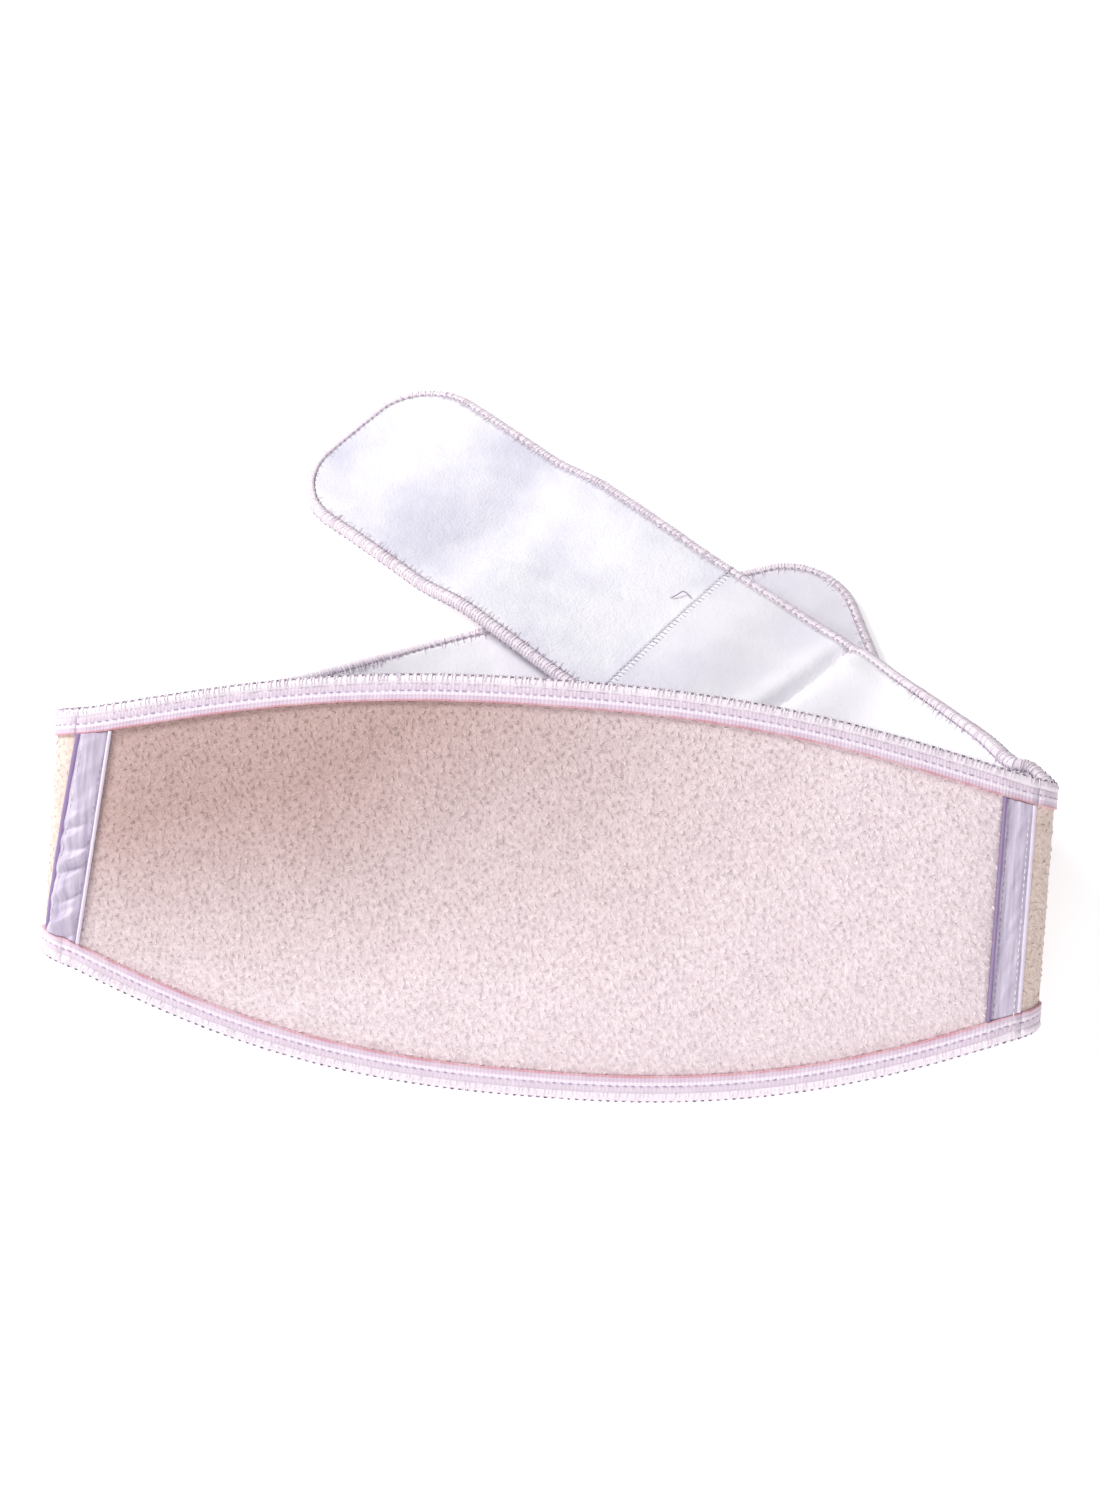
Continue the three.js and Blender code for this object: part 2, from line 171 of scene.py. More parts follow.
class EdgeCurve:
    """A smooth curve through points, read by its share of arc length."""

    def __init__(self, points: Sequence[Array], pieces: int = 60) -> None:
        """Samples a centripetal Catmull-Rom curve.

        Args:
            points: The points that the curve passes through.
            pieces: Samples between one point and the next.
        """
        given = np.array(points, float)
        ends = 2 * given[0] - given[1], 2 * given[-1] - given[-2]
        chain = np.vstack([ends[0], given, ends[1]])
        samples = [self._span(chain[k : k + 4], pieces) for k in range(len(given) - 1)]
        self.samples = np.vstack([*samples, given[-1:]])
        steps = np.linalg.norm(np.diff(self.samples, axis=0), axis=1)
        self.travel = np.concatenate([[0], np.cumsum(steps)])
        self.length = float(self.travel[-1])

    @staticmethod
    def _span(four: Array, pieces: int) -> Array:
        """Samples from the second of four points up to the third."""
        gaps = np.sum(np.diff(four, axis=0) ** 2, axis=1) ** 0.25
        slopes = np.diff(four, axis=0) / gaps[:, None]
        wide = (four[2:] - four[:-2]) / (gaps[:-1] + gaps[1:])[:, None]
        leave = (slopes[0] - wide[0] + slopes[1]) * gaps[1]
        arrive = (slopes[1] - wide[1] + slopes[2]) * gaps[1]
        t = np.linspace(0, 1, pieces, endpoint=False)[:, None]
        square = -3 * four[1] + 3 * four[2] - 2 * leave - arrive
        cube = 2 * four[1] - 2 * four[2] + leave + arrive
        return four[1] + leave * t + square * t**2 + cube * t**3

    def at(self, share: Array) -> Array:
        """Points at shares of the curve's length."""
        reach = np.clip(share, 0, 1) * self.length
        return np.stack([np.interp(reach, self.travel, self.samples[:, k]) for k in range(3)], -1)


@dataclass(frozen=True)
class Swell:
    """A rounded rise in the cloth: its height, and its (centre, width) along and across."""

    height: float
    along: tuple[float, float]
    across: tuple[float, float]

    def at(self, reach: Array, across: Array) -> Array:
        """How high it is at places on the band."""
        return self.height * bump(reach, *self.along) * bump(across, *self.across)


@dataclass(frozen=True)
class Crease:
    """The slanting crease in the upper wing: a ridge, a furrow and a faint ridge past it.

    Its line passes through the place (reach, across). The profile's places are distances
    from that line back towards the front, as the start and end of a smooth step or the
    centre and width of a bump.
    """

    reach: float = 219.7
    across: float = 45.7
    slant: float = 0.31
    ridge: float = 3.4
    ridge_rises: tuple[float, float] = (-0.6, 5.5)
    ridge_falls: tuple[float, float] = (6, 23)
    furrow: float = 2.6
    furrow_at: tuple[float, float] = (-1.2, 2.0)
    far_ridge: float = 0.9
    far_ridge_at: tuple[float, float] = (-5.5, 3.5)
    starts: tuple[float, float] = (2, 22)
    ends: tuple[float, float] = (51, 60)
    end_loss: float = 0.75

    def at(self, reach: Array, across: Array) -> Array:
        """How far the crease lifts the cloth at places on the band."""
        back = self.reach + (self.across - across) * self.slant - reach
        inside = smoothstep(across, *self.starts) * (1 - self.end_loss * smoothstep(across, *self.ends))
        falls = 1 - smoothstep(back, *self.ridge_falls)
        ridge = self.ridge * smoothstep(back, *self.ridge_rises) * falls
        furrow = self.furrow * bump(back, *self.furrow_at)
        furrow = furrow - self.far_ridge * bump(back, *self.far_ridge_at)
        return (ridge - furrow) * inside


@dataclass(frozen=True)
class SoftFolds:
    """Heights of the soft folds in the wings' cloth above an even lie.

    Pairs are the start and end of a smooth step along the band or across it, or the
    centre and width of a bump.
    """

    crease: Crease = Crease()
    belly: Swell = Swell(1.9, (250, 12), (34, 26))
    dip: Swell = Swell(3.0, (309, 20), (34, 17))
    upper_lift: float = 1.9
    upper_waves: float = 0.3
    cup: float = 0.5
    cupped: tuple[float, float] = (270, 330)
    seam_step: float = 0.25
    seam_width: float = 1.8
    tip_flat: float = 30
    lower_rise: float = 0.5
    lower_at: tuple[float, float] = (345, 12)
    lower_across: tuple[float, float] = (20, 50)
    lower_waves: float = 0.12
    lower_waved: tuple[float, float] = (325, 335)
    wing_starts: tuple[float, float] = (12, 40)
    left_fullness: float = 1.9
    left_full_before: float = 9
    left_full_width: float = 9
    left_full_ends: tuple[float, float] = (130, 138)


FOLDS = SoftFolds()


@dataclass(frozen=True)
class Wing:
    """A wing as laid: its route, its straight run's directions and start, and its edges."""

    route: WingRoute
    forward: Array
    upward: Array
    corner: Array
    curves: tuple[EdgeCurve, EdgeCurve]

    @property
    def length(self) -> float:
        """Mean length of its two edges, from the fold to the straight run."""
        return (self.curves[0].length + self.curves[1].length) / 2


@dataclass
class Band:
    """The middle surface of the whole band, from one wing's end to the other's."""

    lean: float = math.radians(36)
    width: float = 60
    fold_start: float = 114
    fold_radius: float = 6
    lens_reach: float = 122
    lens_axis: float = 55.5
    lens_power: float = 2.4
    top_crown: float = 16.2
    top_power: float = 1.3
    bottom_crown: float = 25.3
    bottom_power: float = 1.15
    lift: float = 2.1
    tip_radius: float = 20
    shift: float = 0
    wings: dict[int, Wing] = field(default_factory=dict)

    def __post_init__(self) -> None:
        """Works out the slope's directions and the wings' edge curves."""
        self.up_slope = np.array([0, math.cos(self.lean), math.sin(self.lean)])
        self.behind = np.array([0, math.sin(self.lean), -math.cos(self.lean)])
        self.fold_end = self.fold_start + self.fold_radius * math.pi
        for route in (RIGHT_ROUTE, LEFT_ROUTE):
            self.wings[route.side.value] = self._lay_wing(route)

    def place_in_frame(self, joints: Sequence[dict]) -> None:
        """Shifts the surface to where the frame has it, by the height of the left fold's hinge."""
        hinge = next(joint for joint in joints if joint["name"] == "left_fold")
        here = self.slope_point(np.zeros(1), self.lens_axis, self.fold_radius)[0]
        self.shift = hinge["pos_m"][1] / MM - here[1]

    def edges(self, along: Array) -> tuple[Array, Array]:
        """Heights up the slope of the front's lower and upper edges."""
        reach = np.minimum(1, np.abs(along) / self.lens_reach)
        crown = 1 - reach**self.lens_power
        lower = self.lens_axis - self.width / 2 - self.bottom_crown * crown**self.bottom_power
        upper = self.lens_axis + self.width / 2 + self.top_crown * crown**self.top_power
        return lower, upper

    def width_at(self, along: Array) -> Array:
        """Width of the band at places along it."""
        lower, upper = self.edges(np.asarray(along, float))
        return upper - lower

    def slope_point(self, x: Array, height: Array | float, depth: Array | float) -> Array:
        """Points at distances from the centre, up the slope and behind the front."""
        x = np.asarray(x, float)
        base = np.stack([x, np.full_like(x, self.shift), np.full_like(x, self.lift)], -1)
        up = np.broadcast_to(height, x.shape)[..., None] * self.up_slope
        return base + up + np.broadcast_to(depth, x.shape)[..., None] * self.behind

    def _front_point(self, along: Array, across: Array) -> Array:
        """Points on the front and in the folds at its ends."""
        side = np.where(along < 0, -1, 1)
        turn = np.maximum(0, np.abs(along) - self.fold_start) / self.fold_radius
        x = np.minimum(np.abs(along), self.fold_start) + self.fold_radius * np.sin(turn)
        depth = self.fold_radius * (1 - np.cos(turn))
        flare = np.where(side < 0, LEFT_ROUTE.flare, RIGHT_ROUTE.flare) * across / self.width
        rise = flare * smoothstep(turn, math.pi / 2, math.pi)
        return self.slope_point(side * x, self.edges(along)[0] + across + rise, depth)

    def _lay_wing(self, route: WingRoute) -> Wing:
        """Works out a wing's two edge curves, its directions and its straight run."""
        side = route.side.value
        heading = math.radians(route.heading)
        forward = np.array([math.cos(heading), math.sin(heading), 0])
        upward = np.array([side * forward[1], -side * forward[0], 0])
        upper_corner = np.array(route.corner, float)
        corners = (upper_corner - self.width * upward, upper_corner)
        curves = []
        for edge, points in enumerate((route.lower, route.upper)):
            along, across = np.array([side * self.fold_end]), np.array([self.width * edge])
            start = self._front_point(along, across)[0]
            leaving = start - np.array([side * route.leaving[edge], 0, 0])
            run = corners[edge] - route.run_in * forward
            curves.append(EdgeCurve([start, leaving, *map(np.array, points), run, corners[edge]]))
        return Wing(route, forward, upward, corners[0], (curves[0], curves[1]))

    def seam_along(self, side: Side) -> float:
        """Where a wing's straight run starts, as a distance along the band."""
        return self.fold_end + self.wings[side.value].length

    def tip_along(self, side: Side) -> float:
        """Where a wing ends, as a distance along the band."""
        return self.seam_along(side) + self.wings[side.value].route.straight

    def _wing_point(self, wing: Wing, beyond: Array, across: Array) -> Array:
        """Points on a wing, at distances past the end of its fold."""
        share = (across / self.width)[..., None]
        lower, upper = (curve.at(beyond / wing.length) for curve in wing.curves)
        bent = lower * (1 - share) + upper * share
        run = beyond - wing.length
        flat = wing.corner + run[..., None] * wing.forward + across[..., None] * wing.upward
        start, end, height = wing.route.settles
        settled = smoothstep(run, start, end)
        flat[..., 2] = wing.route.corner[2] * (1 - settled) + height * settled
        point = np.where((run < 0)[..., None], bent, flat)
        point[..., 1] += self.shift
        return point

    def point(self, along: Array, across: Array) -> Array:
        """Points on the middle surface, in millimetres."""
        along, across = np.broadcast_arrays(np.asarray(along, float), np.asarray(across, float))
        points = self._front_point(along, across)
        for side, wing in self.wings.items():
            past = side * along - self.fold_end
            on_wing = past > 0
            if on_wing.any():
                points[on_wing] = self._wing_point(wing, past[on_wing], across[on_wing])
        return points

    def normal(self, along: Array, across: Array, step: float = 0.8) -> Array:
        """Unit normals towards the terry side."""
        right = self.point(along + step, across) - self.point(along - step, across)
        up = self.point(along, across + step) - self.point(along, across - step)
        cross = np.cross(right, up)
        return cross / np.linalg.norm(cross, axis=-1, keepdims=True)

    def relief(self, along: Array, across: Array) -> Array:
        """How far soft folds lift the cloth above its even lie, towards the lining side."""
        reach, right = np.abs(along), along > 0
        waves = np.sin(along / 9.3 + across / 13) * np.sin(across / 17 - along / 23 + 1)
        wing_starts = (self.fold_end + FOLDS.wing_starts[0], self.fold_end + FOLDS.wing_starts[1])
        tip = self.tip_along(Side.RIGHT)
        near_end = 1 - smoothstep(reach, tip - FOLDS.tip_flat, tip)
        upper = self._upper_relief(reach, across, waves) * near_end
        lower = FOLDS.lower_rise * bump(reach, *FOLDS.lower_at) * smoothstep(across, *FOLDS.lower_across)
        lower = lower + FOLDS.lower_waves * waves * smoothstep(reach, *FOLDS.lower_waved)
        full = bump(reach, self.fold_end - FOLDS.left_full_before, FOLDS.left_full_width)
        full = FOLDS.left_fullness * full * (1 - smoothstep(reach, *FOLDS.left_full_ends))
        return smoothstep(reach, *wing_starts) * np.where(right, upper, lower) - np.where(right, 0, full)

    def _upper_relief(self, reach: Array, across: Array, waves: Array) -> Array:
        """How far the upper wing's cloth stands above its even lie."""
        crease, belly = FOLDS.crease.at(reach, across), FOLDS.belly.at(reach, across)
        half = self.width / 2
        cup = FOLDS.cup * ((across - half) / half) ** 2 * smoothstep(reach, *FOLDS.cupped)
        step = FOLDS.seam_step * bump(reach, self.seam_along(Side.RIGHT), FOLDS.seam_width)
        high = crease + belly + cup + step + FOLDS.upper_lift
        return high - FOLDS.dip.at(reach, across) + FOLDS.upper_waves * waves

    def lay(self, along: Array, across: Array, out: Array | float) -> Array:
        """Points at distances out from the band's soft surface, in metres."""
        along, across = np.broadcast_arrays(np.asarray(along, float), np.asarray(across, float))
        away = np.broadcast_to(out, along.shape) - self.relief(along, across)
        return (self.point(along, across) + away[..., None] * self.normal(along, across)) * MM


@dataclass(frozen=True)
class Layers:
    """How far out each layer's inner and outer faces are, in the padded front and in a wing."""

    panel: dict[str, tuple[float, float]] = field(
        default_factory=lambda: {
            "foam": (-0.9, 0.7),
            "lining": (-2.1, -1.2),
            "tape": (2.7, 3.2),
            "overlock": (-2.4, 3.2),
        }
    )
    wing: dict[str, tuple[float, float]] = field(
        default_factory=lambda: {
            "terry": (0.15, 1.35),
            "lining": (-1.05, -0.15),
            "tape": (1.65, 2.15),
            "overlock": (-1.35, 2.15),
        }
    )
    thins: tuple[float, float] = (107.5, 115)

    def edge(self, name: str, along: Array) -> tuple[Array, Array]:
        """Inner and outer faces of an edge finish, which thins from the front to the fold."""
        share = smoothstep(np.abs(along), *self.thins)
        faces = zip(self.panel[name], self.wing[name], strict=True)
        inner, outer = (a + (b - a) * share for a, b in faces)
        return inner, outer


LAYERS = Layers()
OVERLOCK_WIDTH = 2.5
TAPE_WIDTH = 3.8
CLOTH_INSET = 2.8
RIBBON_START = 108.5
RIBBON_END = 116.0
GAP = 0.3
LEFT_SLANT = 5.0
SLANT_GROWS = (60, RIBBON_START - 4)
SLANT_FADES = (121, 130)
ROUNDING_PLACES = 16
ROUNDING_ROWS = 14


def slanted(band: Band, along: Array, across: Array) -> Array:
    """Moves places near the left seam outwards towards the lower edge, where it runs askew."""
    near = smoothstep(-along, *SLANT_GROWS) * (1 - smoothstep(-along, *SLANT_FADES))
    return along - LEFT_SLANT * near * (1 - across / band.width)


@dataclass
class Outline:
    """A run of band places along an edge, each with its direction inwards.

    Runs go with the terry side towards the eye and the cloth on their left.
    """

    along: Array
    across: Array
    inward: Array

    @classmethod
    def straight(cls, band: Band, start: float, end: float, top: bool, step: float) -> "Outline":
        """A run along the band's lower or upper edge."""
        count = max(2, math.ceil(abs(end - start) / step) + 1)
        along = np.linspace(start, end, count)
        across = band.width_at(along) if top else np.zeros(count)
        inward = np.tile([0.0, -1.0 if top else 1.0], (count, 1))
        return cls(along, across, inward)

    @classmethod
    def round_end(cls, band: Band, side: Side, start: float, step: float) -> "Outline":
        """A run along one edge of a wing, round its end and back along the other.

        Args:
            band: The band that the wing belongs to.
            side: Which wing.
            start: Where the run begins and ends, as a distance along the band.
            step: The distance between places.

        Returns:
            The run, in one length.
        """
        sign, radius = side.value, band.tip_radius
        rounding = sign * (band.tip_along(side) - radius)
        there = cls.straight(band, sign * start, rounding, side is Side.LEFT, step)
        back = cls.straight(band, rounding, sign * start, side is Side.RIGHT, step)
        first = -90 if side is Side.RIGHT else 90
        parts = [there]
        for k, centre in enumerate((radius, band.width - radius)[::sign]):
            angles = np.radians(np.linspace(first + 90 * k, first + 90 * (k + 1), ROUNDING_PLACES))
            away = np.stack([np.cos(angles), np.sin(angles)], -1)
            parts.append(cls(rounding + radius * away[:, 0], centre + radius * away[:, 1], -away))
        parts.append(back)
        return cls.join(parts)

    @classmethod
    def join(cls, parts: Sequence["Outline"]) -> "Outline":
        """Joins runs that meet end to end, leaving out the doubled places."""
        kept = [parts[0], *(cls(p.along[1:], p.across[1:], p.inward[1:]) for p in parts[1:])]
        along = np.concatenate([p.along for p in kept])
        across = np.concatenate([p.across for p in kept])
        return cls(along, across, np.vstack([p.inward for p in kept]))

    def inset(self, distance: Array | float) -> tuple[Array, Array]:
        """Band places at a distance in from the edge."""
        return self.along + self.inward[:, 0] * distance, self.across + self.inward[:, 1] * distance


# ---- Meshes ----


def new_piece(name: str, vertices: Array, faces: Sequence, uv: Array | None = None) -> bpy.types.Object:
    """Makes a smooth-shaded mesh object at the origin.

    Args:
        name: The piece's name.
        vertices: Points in metres.
        faces: Vertex indices of each face.
        uv: A place on the cloth for each vertex, in metres.

    Returns:
        The new object, linked to the scene.
    """
    mesh = bpy.data.meshes.new(name)
    mesh.from_pydata(vertices.reshape(-1, 3).tolist(), [], [list(map(int, f)) for f in faces])
    mesh.polygons.foreach_set("use_smooth", np.ones(len(mesh.polygons), bool))
    if uv is not None:
        corners = np.zeros(len(mesh.loops), np.int32)
        mesh.loops.foreach_get("vertex_index", corners)
        layer = mesh.uv_layers.new(name="cloth")
        layer.data.foreach_set("uv", uv.reshape(-1, 2)[corners].astype(np.float32).ravel())
    mesh.update()
    piece = bpy.data.objects.new(name, mesh)
    bpy.context.scene.collection.objects.link(piece)
    return piece


def grid_faces(rows: int, columns: int, start: int = 0, flip: bool = False) -> Array:
    """Quads of a grid of vertices stored row by row."""
    i, j = np.meshgrid(np.arange(rows - 1), np.arange(columns - 1), indexing="ij")
    first = (start + i * columns + j).ravel()
    quads = np.stack([first, first + columns, first + columns + 1, first + 1], -1)
    return quads[:, ::-1] if flip else quads


def tube_faces(rings: int, corners: int) -> list[tuple[int, ...]]:
    """Faces of a capped tube, with its rings of vertices stored one after the other."""
    faces: list[tuple[int, ...]] = []
    for i in range(rings - 1):
        for k in range(corners):
            a, b = i * corners + k, i * corners + (k + 1) % corners
            faces.append((a, b, b + corners, a + corners))
    last = (rings - 1) * corners
    faces.append(tuple(reversed(range(corners))))
    faces.append(tuple(last + k for k in range(corners)))
    return faces


def closed_cloth(
    name: str, band: Band, along: Array, across: Array, outer: Array, inner: Array
) -> bpy.types.Object:
    """A closed layer of cloth on a grid of band places.

    Args:
        name: The piece's name.
        band: The surface that it lies on.
        along: Places along the band, one row of the grid for each.
        across: Places across it, the same shape.
        outer: How far out its terry-side face is at each place.
        inner: How far out its lining-side face is.

    Returns:
        The layer, with a map of the cloth in metres.
    """
    rows, columns = along.shape
    count = rows * columns
    points = np.concatenate(
        [band.lay(along, across, outer).reshape(-1, 3), band.lay(along, across, inner).reshape(-1, 3)]
    )
    faces = [grid_faces(rows, columns), grid_faces(rows, columns, count, flip=True)]
    index = np.arange(count).reshape(rows, columns)
    border = np.concatenate([index[:, 0], index[-1, 1:], index[-2::-1, -1], index[0, -2:0:-1]])
    follow = np.roll(border, -1)
    faces.append(np.stack([border, border + count, follow + count, follow], -1))
    uv = np.tile(np.stack([along, across], -1).reshape(-1, 2) * MM, (2, 1))
    cloth = new_piece(name, points, np.concatenate(faces), uv)
    smooth = np.ones(len(cloth.data.polygons), bool)
    smooth[-len(border) :] = False
    cloth.data.polygons.foreach_set("use_smooth", smooth)
    return cloth


def swept(name: str, band: Band, run: Outline, profile: Callable[[Array], Array]) -> bpy.types.Object:
    """A closed section carried along an edge.

    Args:
        name: The piece's name.
        band: The surface that it lies on.
        run: The edge that it follows.
        profile: Gives the section at places along the band, as an array of
            places x corners x (distance in from the edge, distance out).

    Returns:
        The swept piece, with capped ends, mapped by its length and its distance in.
    """
    section = profile(run.along)
    stations, corners = section.shape[:2]
    points, uv = [], []
    travel = np.concatenate([[0], np.cumsum(np.hypot(np.diff(run.along), np.diff(run.across)))])
    for k in range(corners):
        along, across = run.inset(section[:, k, 0])
        points.append(band.lay(along, across, section[:, k, 1]))
        uv.append(np.stack([travel, section[:, k, 0]], -1) * MM)
    faces = tube_faces(stations, corners)
    return outward(new_piece(name, np.stack(points, 1), faces, np.stack(uv, 1)))


def outward(piece: bpy.types.Object) -> bpy.types.Object:
    """Turns a closed mesh's faces outwards by its signed volume."""
    mesh = piece.data
    mesh.calc_loop_triangles()
    corners = np.zeros(len(mesh.loop_triangles) * 3, np.int32)
    mesh.loop_triangles.foreach_get("vertices", corners)
    co = np.zeros(len(mesh.vertices) * 3)
    mesh.vertices.foreach_get("co", co)
    a, b, c = (co.reshape(-1, 3)[corners.reshape(-1, 3)[:, k]] for k in range(3))
    if np.einsum("ij,ij->i", a, np.cross(b, c)).sum() < 0:
        mesh.flip_normals()
    return piece


THREAD_ASIDE = (0.17, 0.31, 0.93)
THREAD_END_SHARE = 0.35


def thread(name: str, path: Sequence[Sequence[float]], radius: float, sides: int) -> bpy.types.Object:
    """A short length of thread as a tube with closed ends.

    Args:
        name: The thread's name.
        path: The points that its middle follows, in millimetres.
        radius: The thread's radius.
        sides: Sides of the tube.

    Returns:
        The tube, narrower at both ends.
    """
    line = np.array(path, float)
    heading = np.gradient(line, axis=0)
    heading /= np.linalg.norm(heading, axis=1, keepdims=True)
    aside = np.cross(heading, THREAD_ASIDE)
    aside /= np.linalg.norm(aside, axis=1, keepdims=True)
    over = np.cross(heading, aside)
    angles = np.linspace(0, 2 * math.pi, sides, endpoint=False)[:, None]
    thick = np.full(len(line), radius)
    thick[[0, -1]] = radius * THREAD_END_SHARE
    round_it = np.cos(angles) * aside[:, None, :] + np.sin(angles) * over[:, None, :]
    rings = line[:, None, :] + thick[:, None, None] * round_it
    return outward(new_piece(name, rings * MM, tube_faces(len(line), sides)))


# ---- Finishes ----


MIX_COLOUR_INPUTS = (0, 6, 7)
MIX_COLOUR_OUTPUT = 2


class NodeTree:
    """A node tree that is built up by adding nodes."""

    prefix = ""

    def __init__(self, tree: bpy.types.NodeTree) -> None:
        """Takes the tree that nodes are added to."""
        self.tree = tree

    def node(self, kind: str, links: dict | None = None, **values: object) -> bpy.types.Node:
        """Adds a node.

        Args:
            kind: The node's type, without the tree's prefix.
            links: Output sockets to join to its inputs, by input name or number.
            values: Properties of the node, or values of its inputs, with _ for a space.

        Returns:
            The new node.
        """
        made = self.tree.nodes.new(f"{self.prefix}{kind}")
        for key, value in values.items():
            if hasattr(made, key):
                setattr(made, key, value)
            else:
                made.inputs[key.replace("_", " ")].default_value = value
        for key, socket in (links or {}).items():
            self.tree.links.new(socket, made.inputs[key])
        return made


class Shading(NodeTree):
    """A material's node tree, built up from one Principled surface."""

    prefix = "ShaderNode"

    def __init__(self, name: str, **surface: float | tuple) -> None:
        """Starts a material.

        Args:
            name: The material's name.
            surface: Values for the surface's own sockets, with _ for a space.
        """
        self.material = bpy.data.materials.new(name)
        self.material.use_nodes = True
        super().__init__(self.material.node_tree)
        self.surface = self.tree.nodes["Principled BSDF"]
        for socket, value in surface.items():
            self.surface.inputs[socket.replace("_", " ")].default_value = value

    def place(self, uv: bool = False) -> bpy.types.NodeSocket:
        """The point on the object, or on the cloth."""
        return self.node("TexCoord").outputs["UV" if uv else "Object"]

    def noise(self, scale: float, place: bpy.types.NodeSocket, detail: float = 3) -> bpy.types.NodeSocket:
        """A soft noise, with its scale in features per metre."""
        made = self.node("TexNoise", {"Vector": place}, Scale=scale, Detail=detail, Roughness=0.6)
        return made.outputs["Fac"]

    def ramp(self, value: bpy.types.NodeSocket, stops: Sequence[tuple]) -> bpy.types.NodeSocket:
        """Colours by a value, from (position, colour) stops."""
        made = self.node("ValToRGB", {"Fac": value})
        elements = made.color_ramp.elements
        while len(elements) < len(stops):
            elements.new(0.5)
        for element, (position, colour) in zip(elements, stops, strict=True):
            element.position = position
            element.color = (*colour, 1)
        return made.outputs["Color"]

    def mix(
        self, factor: bpy.types.NodeSocket | float, a: object, b: object, blend: str = "MIX"
    ) -> bpy.types.NodeSocket:
        """Mixes two colours, each a socket or a plain colour."""
        made = self.node("Mix", data_type="RGBA", blend_type=blend)
        sockets = [made.inputs[k] for k in MIX_COLOUR_INPUTS]
        for socket, value in zip(sockets, (factor, a, b), strict=True):
            if isinstance(value, bpy.types.NodeSocket):
                self.tree.links.new(value, socket)
            else:
                socket.default_value = (*value, 1) if isinstance(value, tuple) else value
        return made.outputs[MIX_COLOUR_OUTPUT]

    def turned(
        self,
        value: bpy.types.NodeSocket,
        stops: Sequence[tuple[float, float]],
        colour: object,
        other: object,
    ) -> bpy.types.NodeSocket:
        """A colour turned towards another, by shares given as (position, share) of a value."""
        shares = self.ramp(value, [(position, (share,) * 3) for position, share in stops])
        return self.mix(shares, colour, other)

    def colour(self, socket: bpy.types.NodeSocket) -> None:
        """Sets the surface's colour."""
        self.tree.links.new(socket, self.surface.inputs["Base Color"])

    def rough(self, socket: bpy.types.NodeSocket, low: float, high: float) -> None:
        """Varies the surface's roughness between two values."""
        made = self.node("MapRange", {"Value": socket}, To_Min=low, To_Max=high)
        self.tree.links.new(made.outputs["Result"], self.surface.inputs["Roughness"])

    def raise_by(self, heights: Sequence[tuple[bpy.types.NodeSocket, float]]) -> None:
        """Raises the surface by heights, each a socket and a depth in metres."""
        normal = None
        for socket, depth in heights:
            links = {"Height": socket}
            if normal is not None:
                links["Normal"] = normal
            normal = self.node("Bump", links, Strength=1.0, Distance=depth).outputs["Normal"]
        self.tree.links.new(normal, self.surface.inputs["Normal"])


@dataclass(frozen=True)
class Terry:
    """Short-loop towelling, flecked loop by loop, with painted shade that darkens and warms it towards the
    upper left.
    """

    name: str
    pale: Colour
    deep: Colour
    painted_shade: Colour
    painted_shade_share: float
    loops: bool

    def material(self) -> bpy.types.Material:
        """Builds the finish."""
        made = Shading(self.name, Roughness=0.95, Sheen_Weight=0.25, Sheen_Roughness=0.5)
        place = made.place()
        fleck = made.noise(780, place, 3)
        painted_shade_drift = made.node("MapRange", {"Value": made.noise(14, place, 2)}, To_Min=0.38, To_Max=0.62)
        flecked = made.ramp(fleck, [(0.3, self.deep), (0.66, self.pale)])
        if self.loops:
            shade = made.node("Attribute", attribute_name="shade").outputs["Fac"]
            flecked = made.mix(0.55, flecked, made.ramp(shade, [(0.1, self.deep), (0.85, self.pale)]))
        # Painted shade: multiplies the colour darker and warmer towards the upper left of the piece, by its
        # position, with a soft noise drift.
        slope = made.node("SeparateXYZ", {"Vector": place})
        leftwards = made.node("MapRange", {"Value": slope.outputs["X"]}, From_Min=0.09, From_Max=-0.1)
        upwards = made.node("MapRange", {"Value": slope.outputs["Z"]}, From_Min=0.008, From_Max=0.058)
        corner = made.node(
            "Math",
            {0: leftwards.outputs["Result"], 1: upwards.outputs["Result"], 2: painted_shade_drift.outputs["Result"]},
            operation="MULTIPLY_ADD",
        )
        share = made.node("MapRange", {"Value": corner.outputs[0]}, From_Min=0.62, From_Max=1.14)
        share.inputs["To Max"].default_value = self.painted_shade_share
        made.colour(made.mix(share.outputs["Result"], flecked, self.painted_shade, "MULTIPLY"))
        made.rough(fleck, 0.85, 1.0)
        made.raise_by([(made.noise(1500, place, 4), 0.0003), (fleck, 0.0003)])
        return made.material


@dataclass(frozen=True)
class BrushedKnit:
    """White lining with a short brushed nap, clouded with painted lilac shade."""

    name: str
    pale: Colour
    deep: Colour
    nap: float

    def material(self) -> bpy.types.Material:
        """Builds the finish."""
        made = Shading(self.name, Roughness=0.9, Sheen_Weight=0.35, Sheen_Roughness=0.4)
        place = made.place()
        # Painted shade: broad soft clouds turn the white towards the deep lilac-grey, standing in for soft
        # shading on the straps.
        painted_shade_cloud = made.noise(24, place, 3)
        fuzz = made.noise(1400, place, 3)
        clumps = made.noise(330, place, 3)
        soft = made.ramp(painted_shade_cloud, [(0.35, self.deep), (0.6, self.pale)])
        made.colour(made.turned(fuzz, [(0.3, 0.12), (0.7, 0)], soft, self.deep))
        made.rough(clumps, 0.8, 1.0)
        made.raise_by([(clumps, self.nap * 0.5), (fuzz, self.nap * 0.35)])
        return made.material


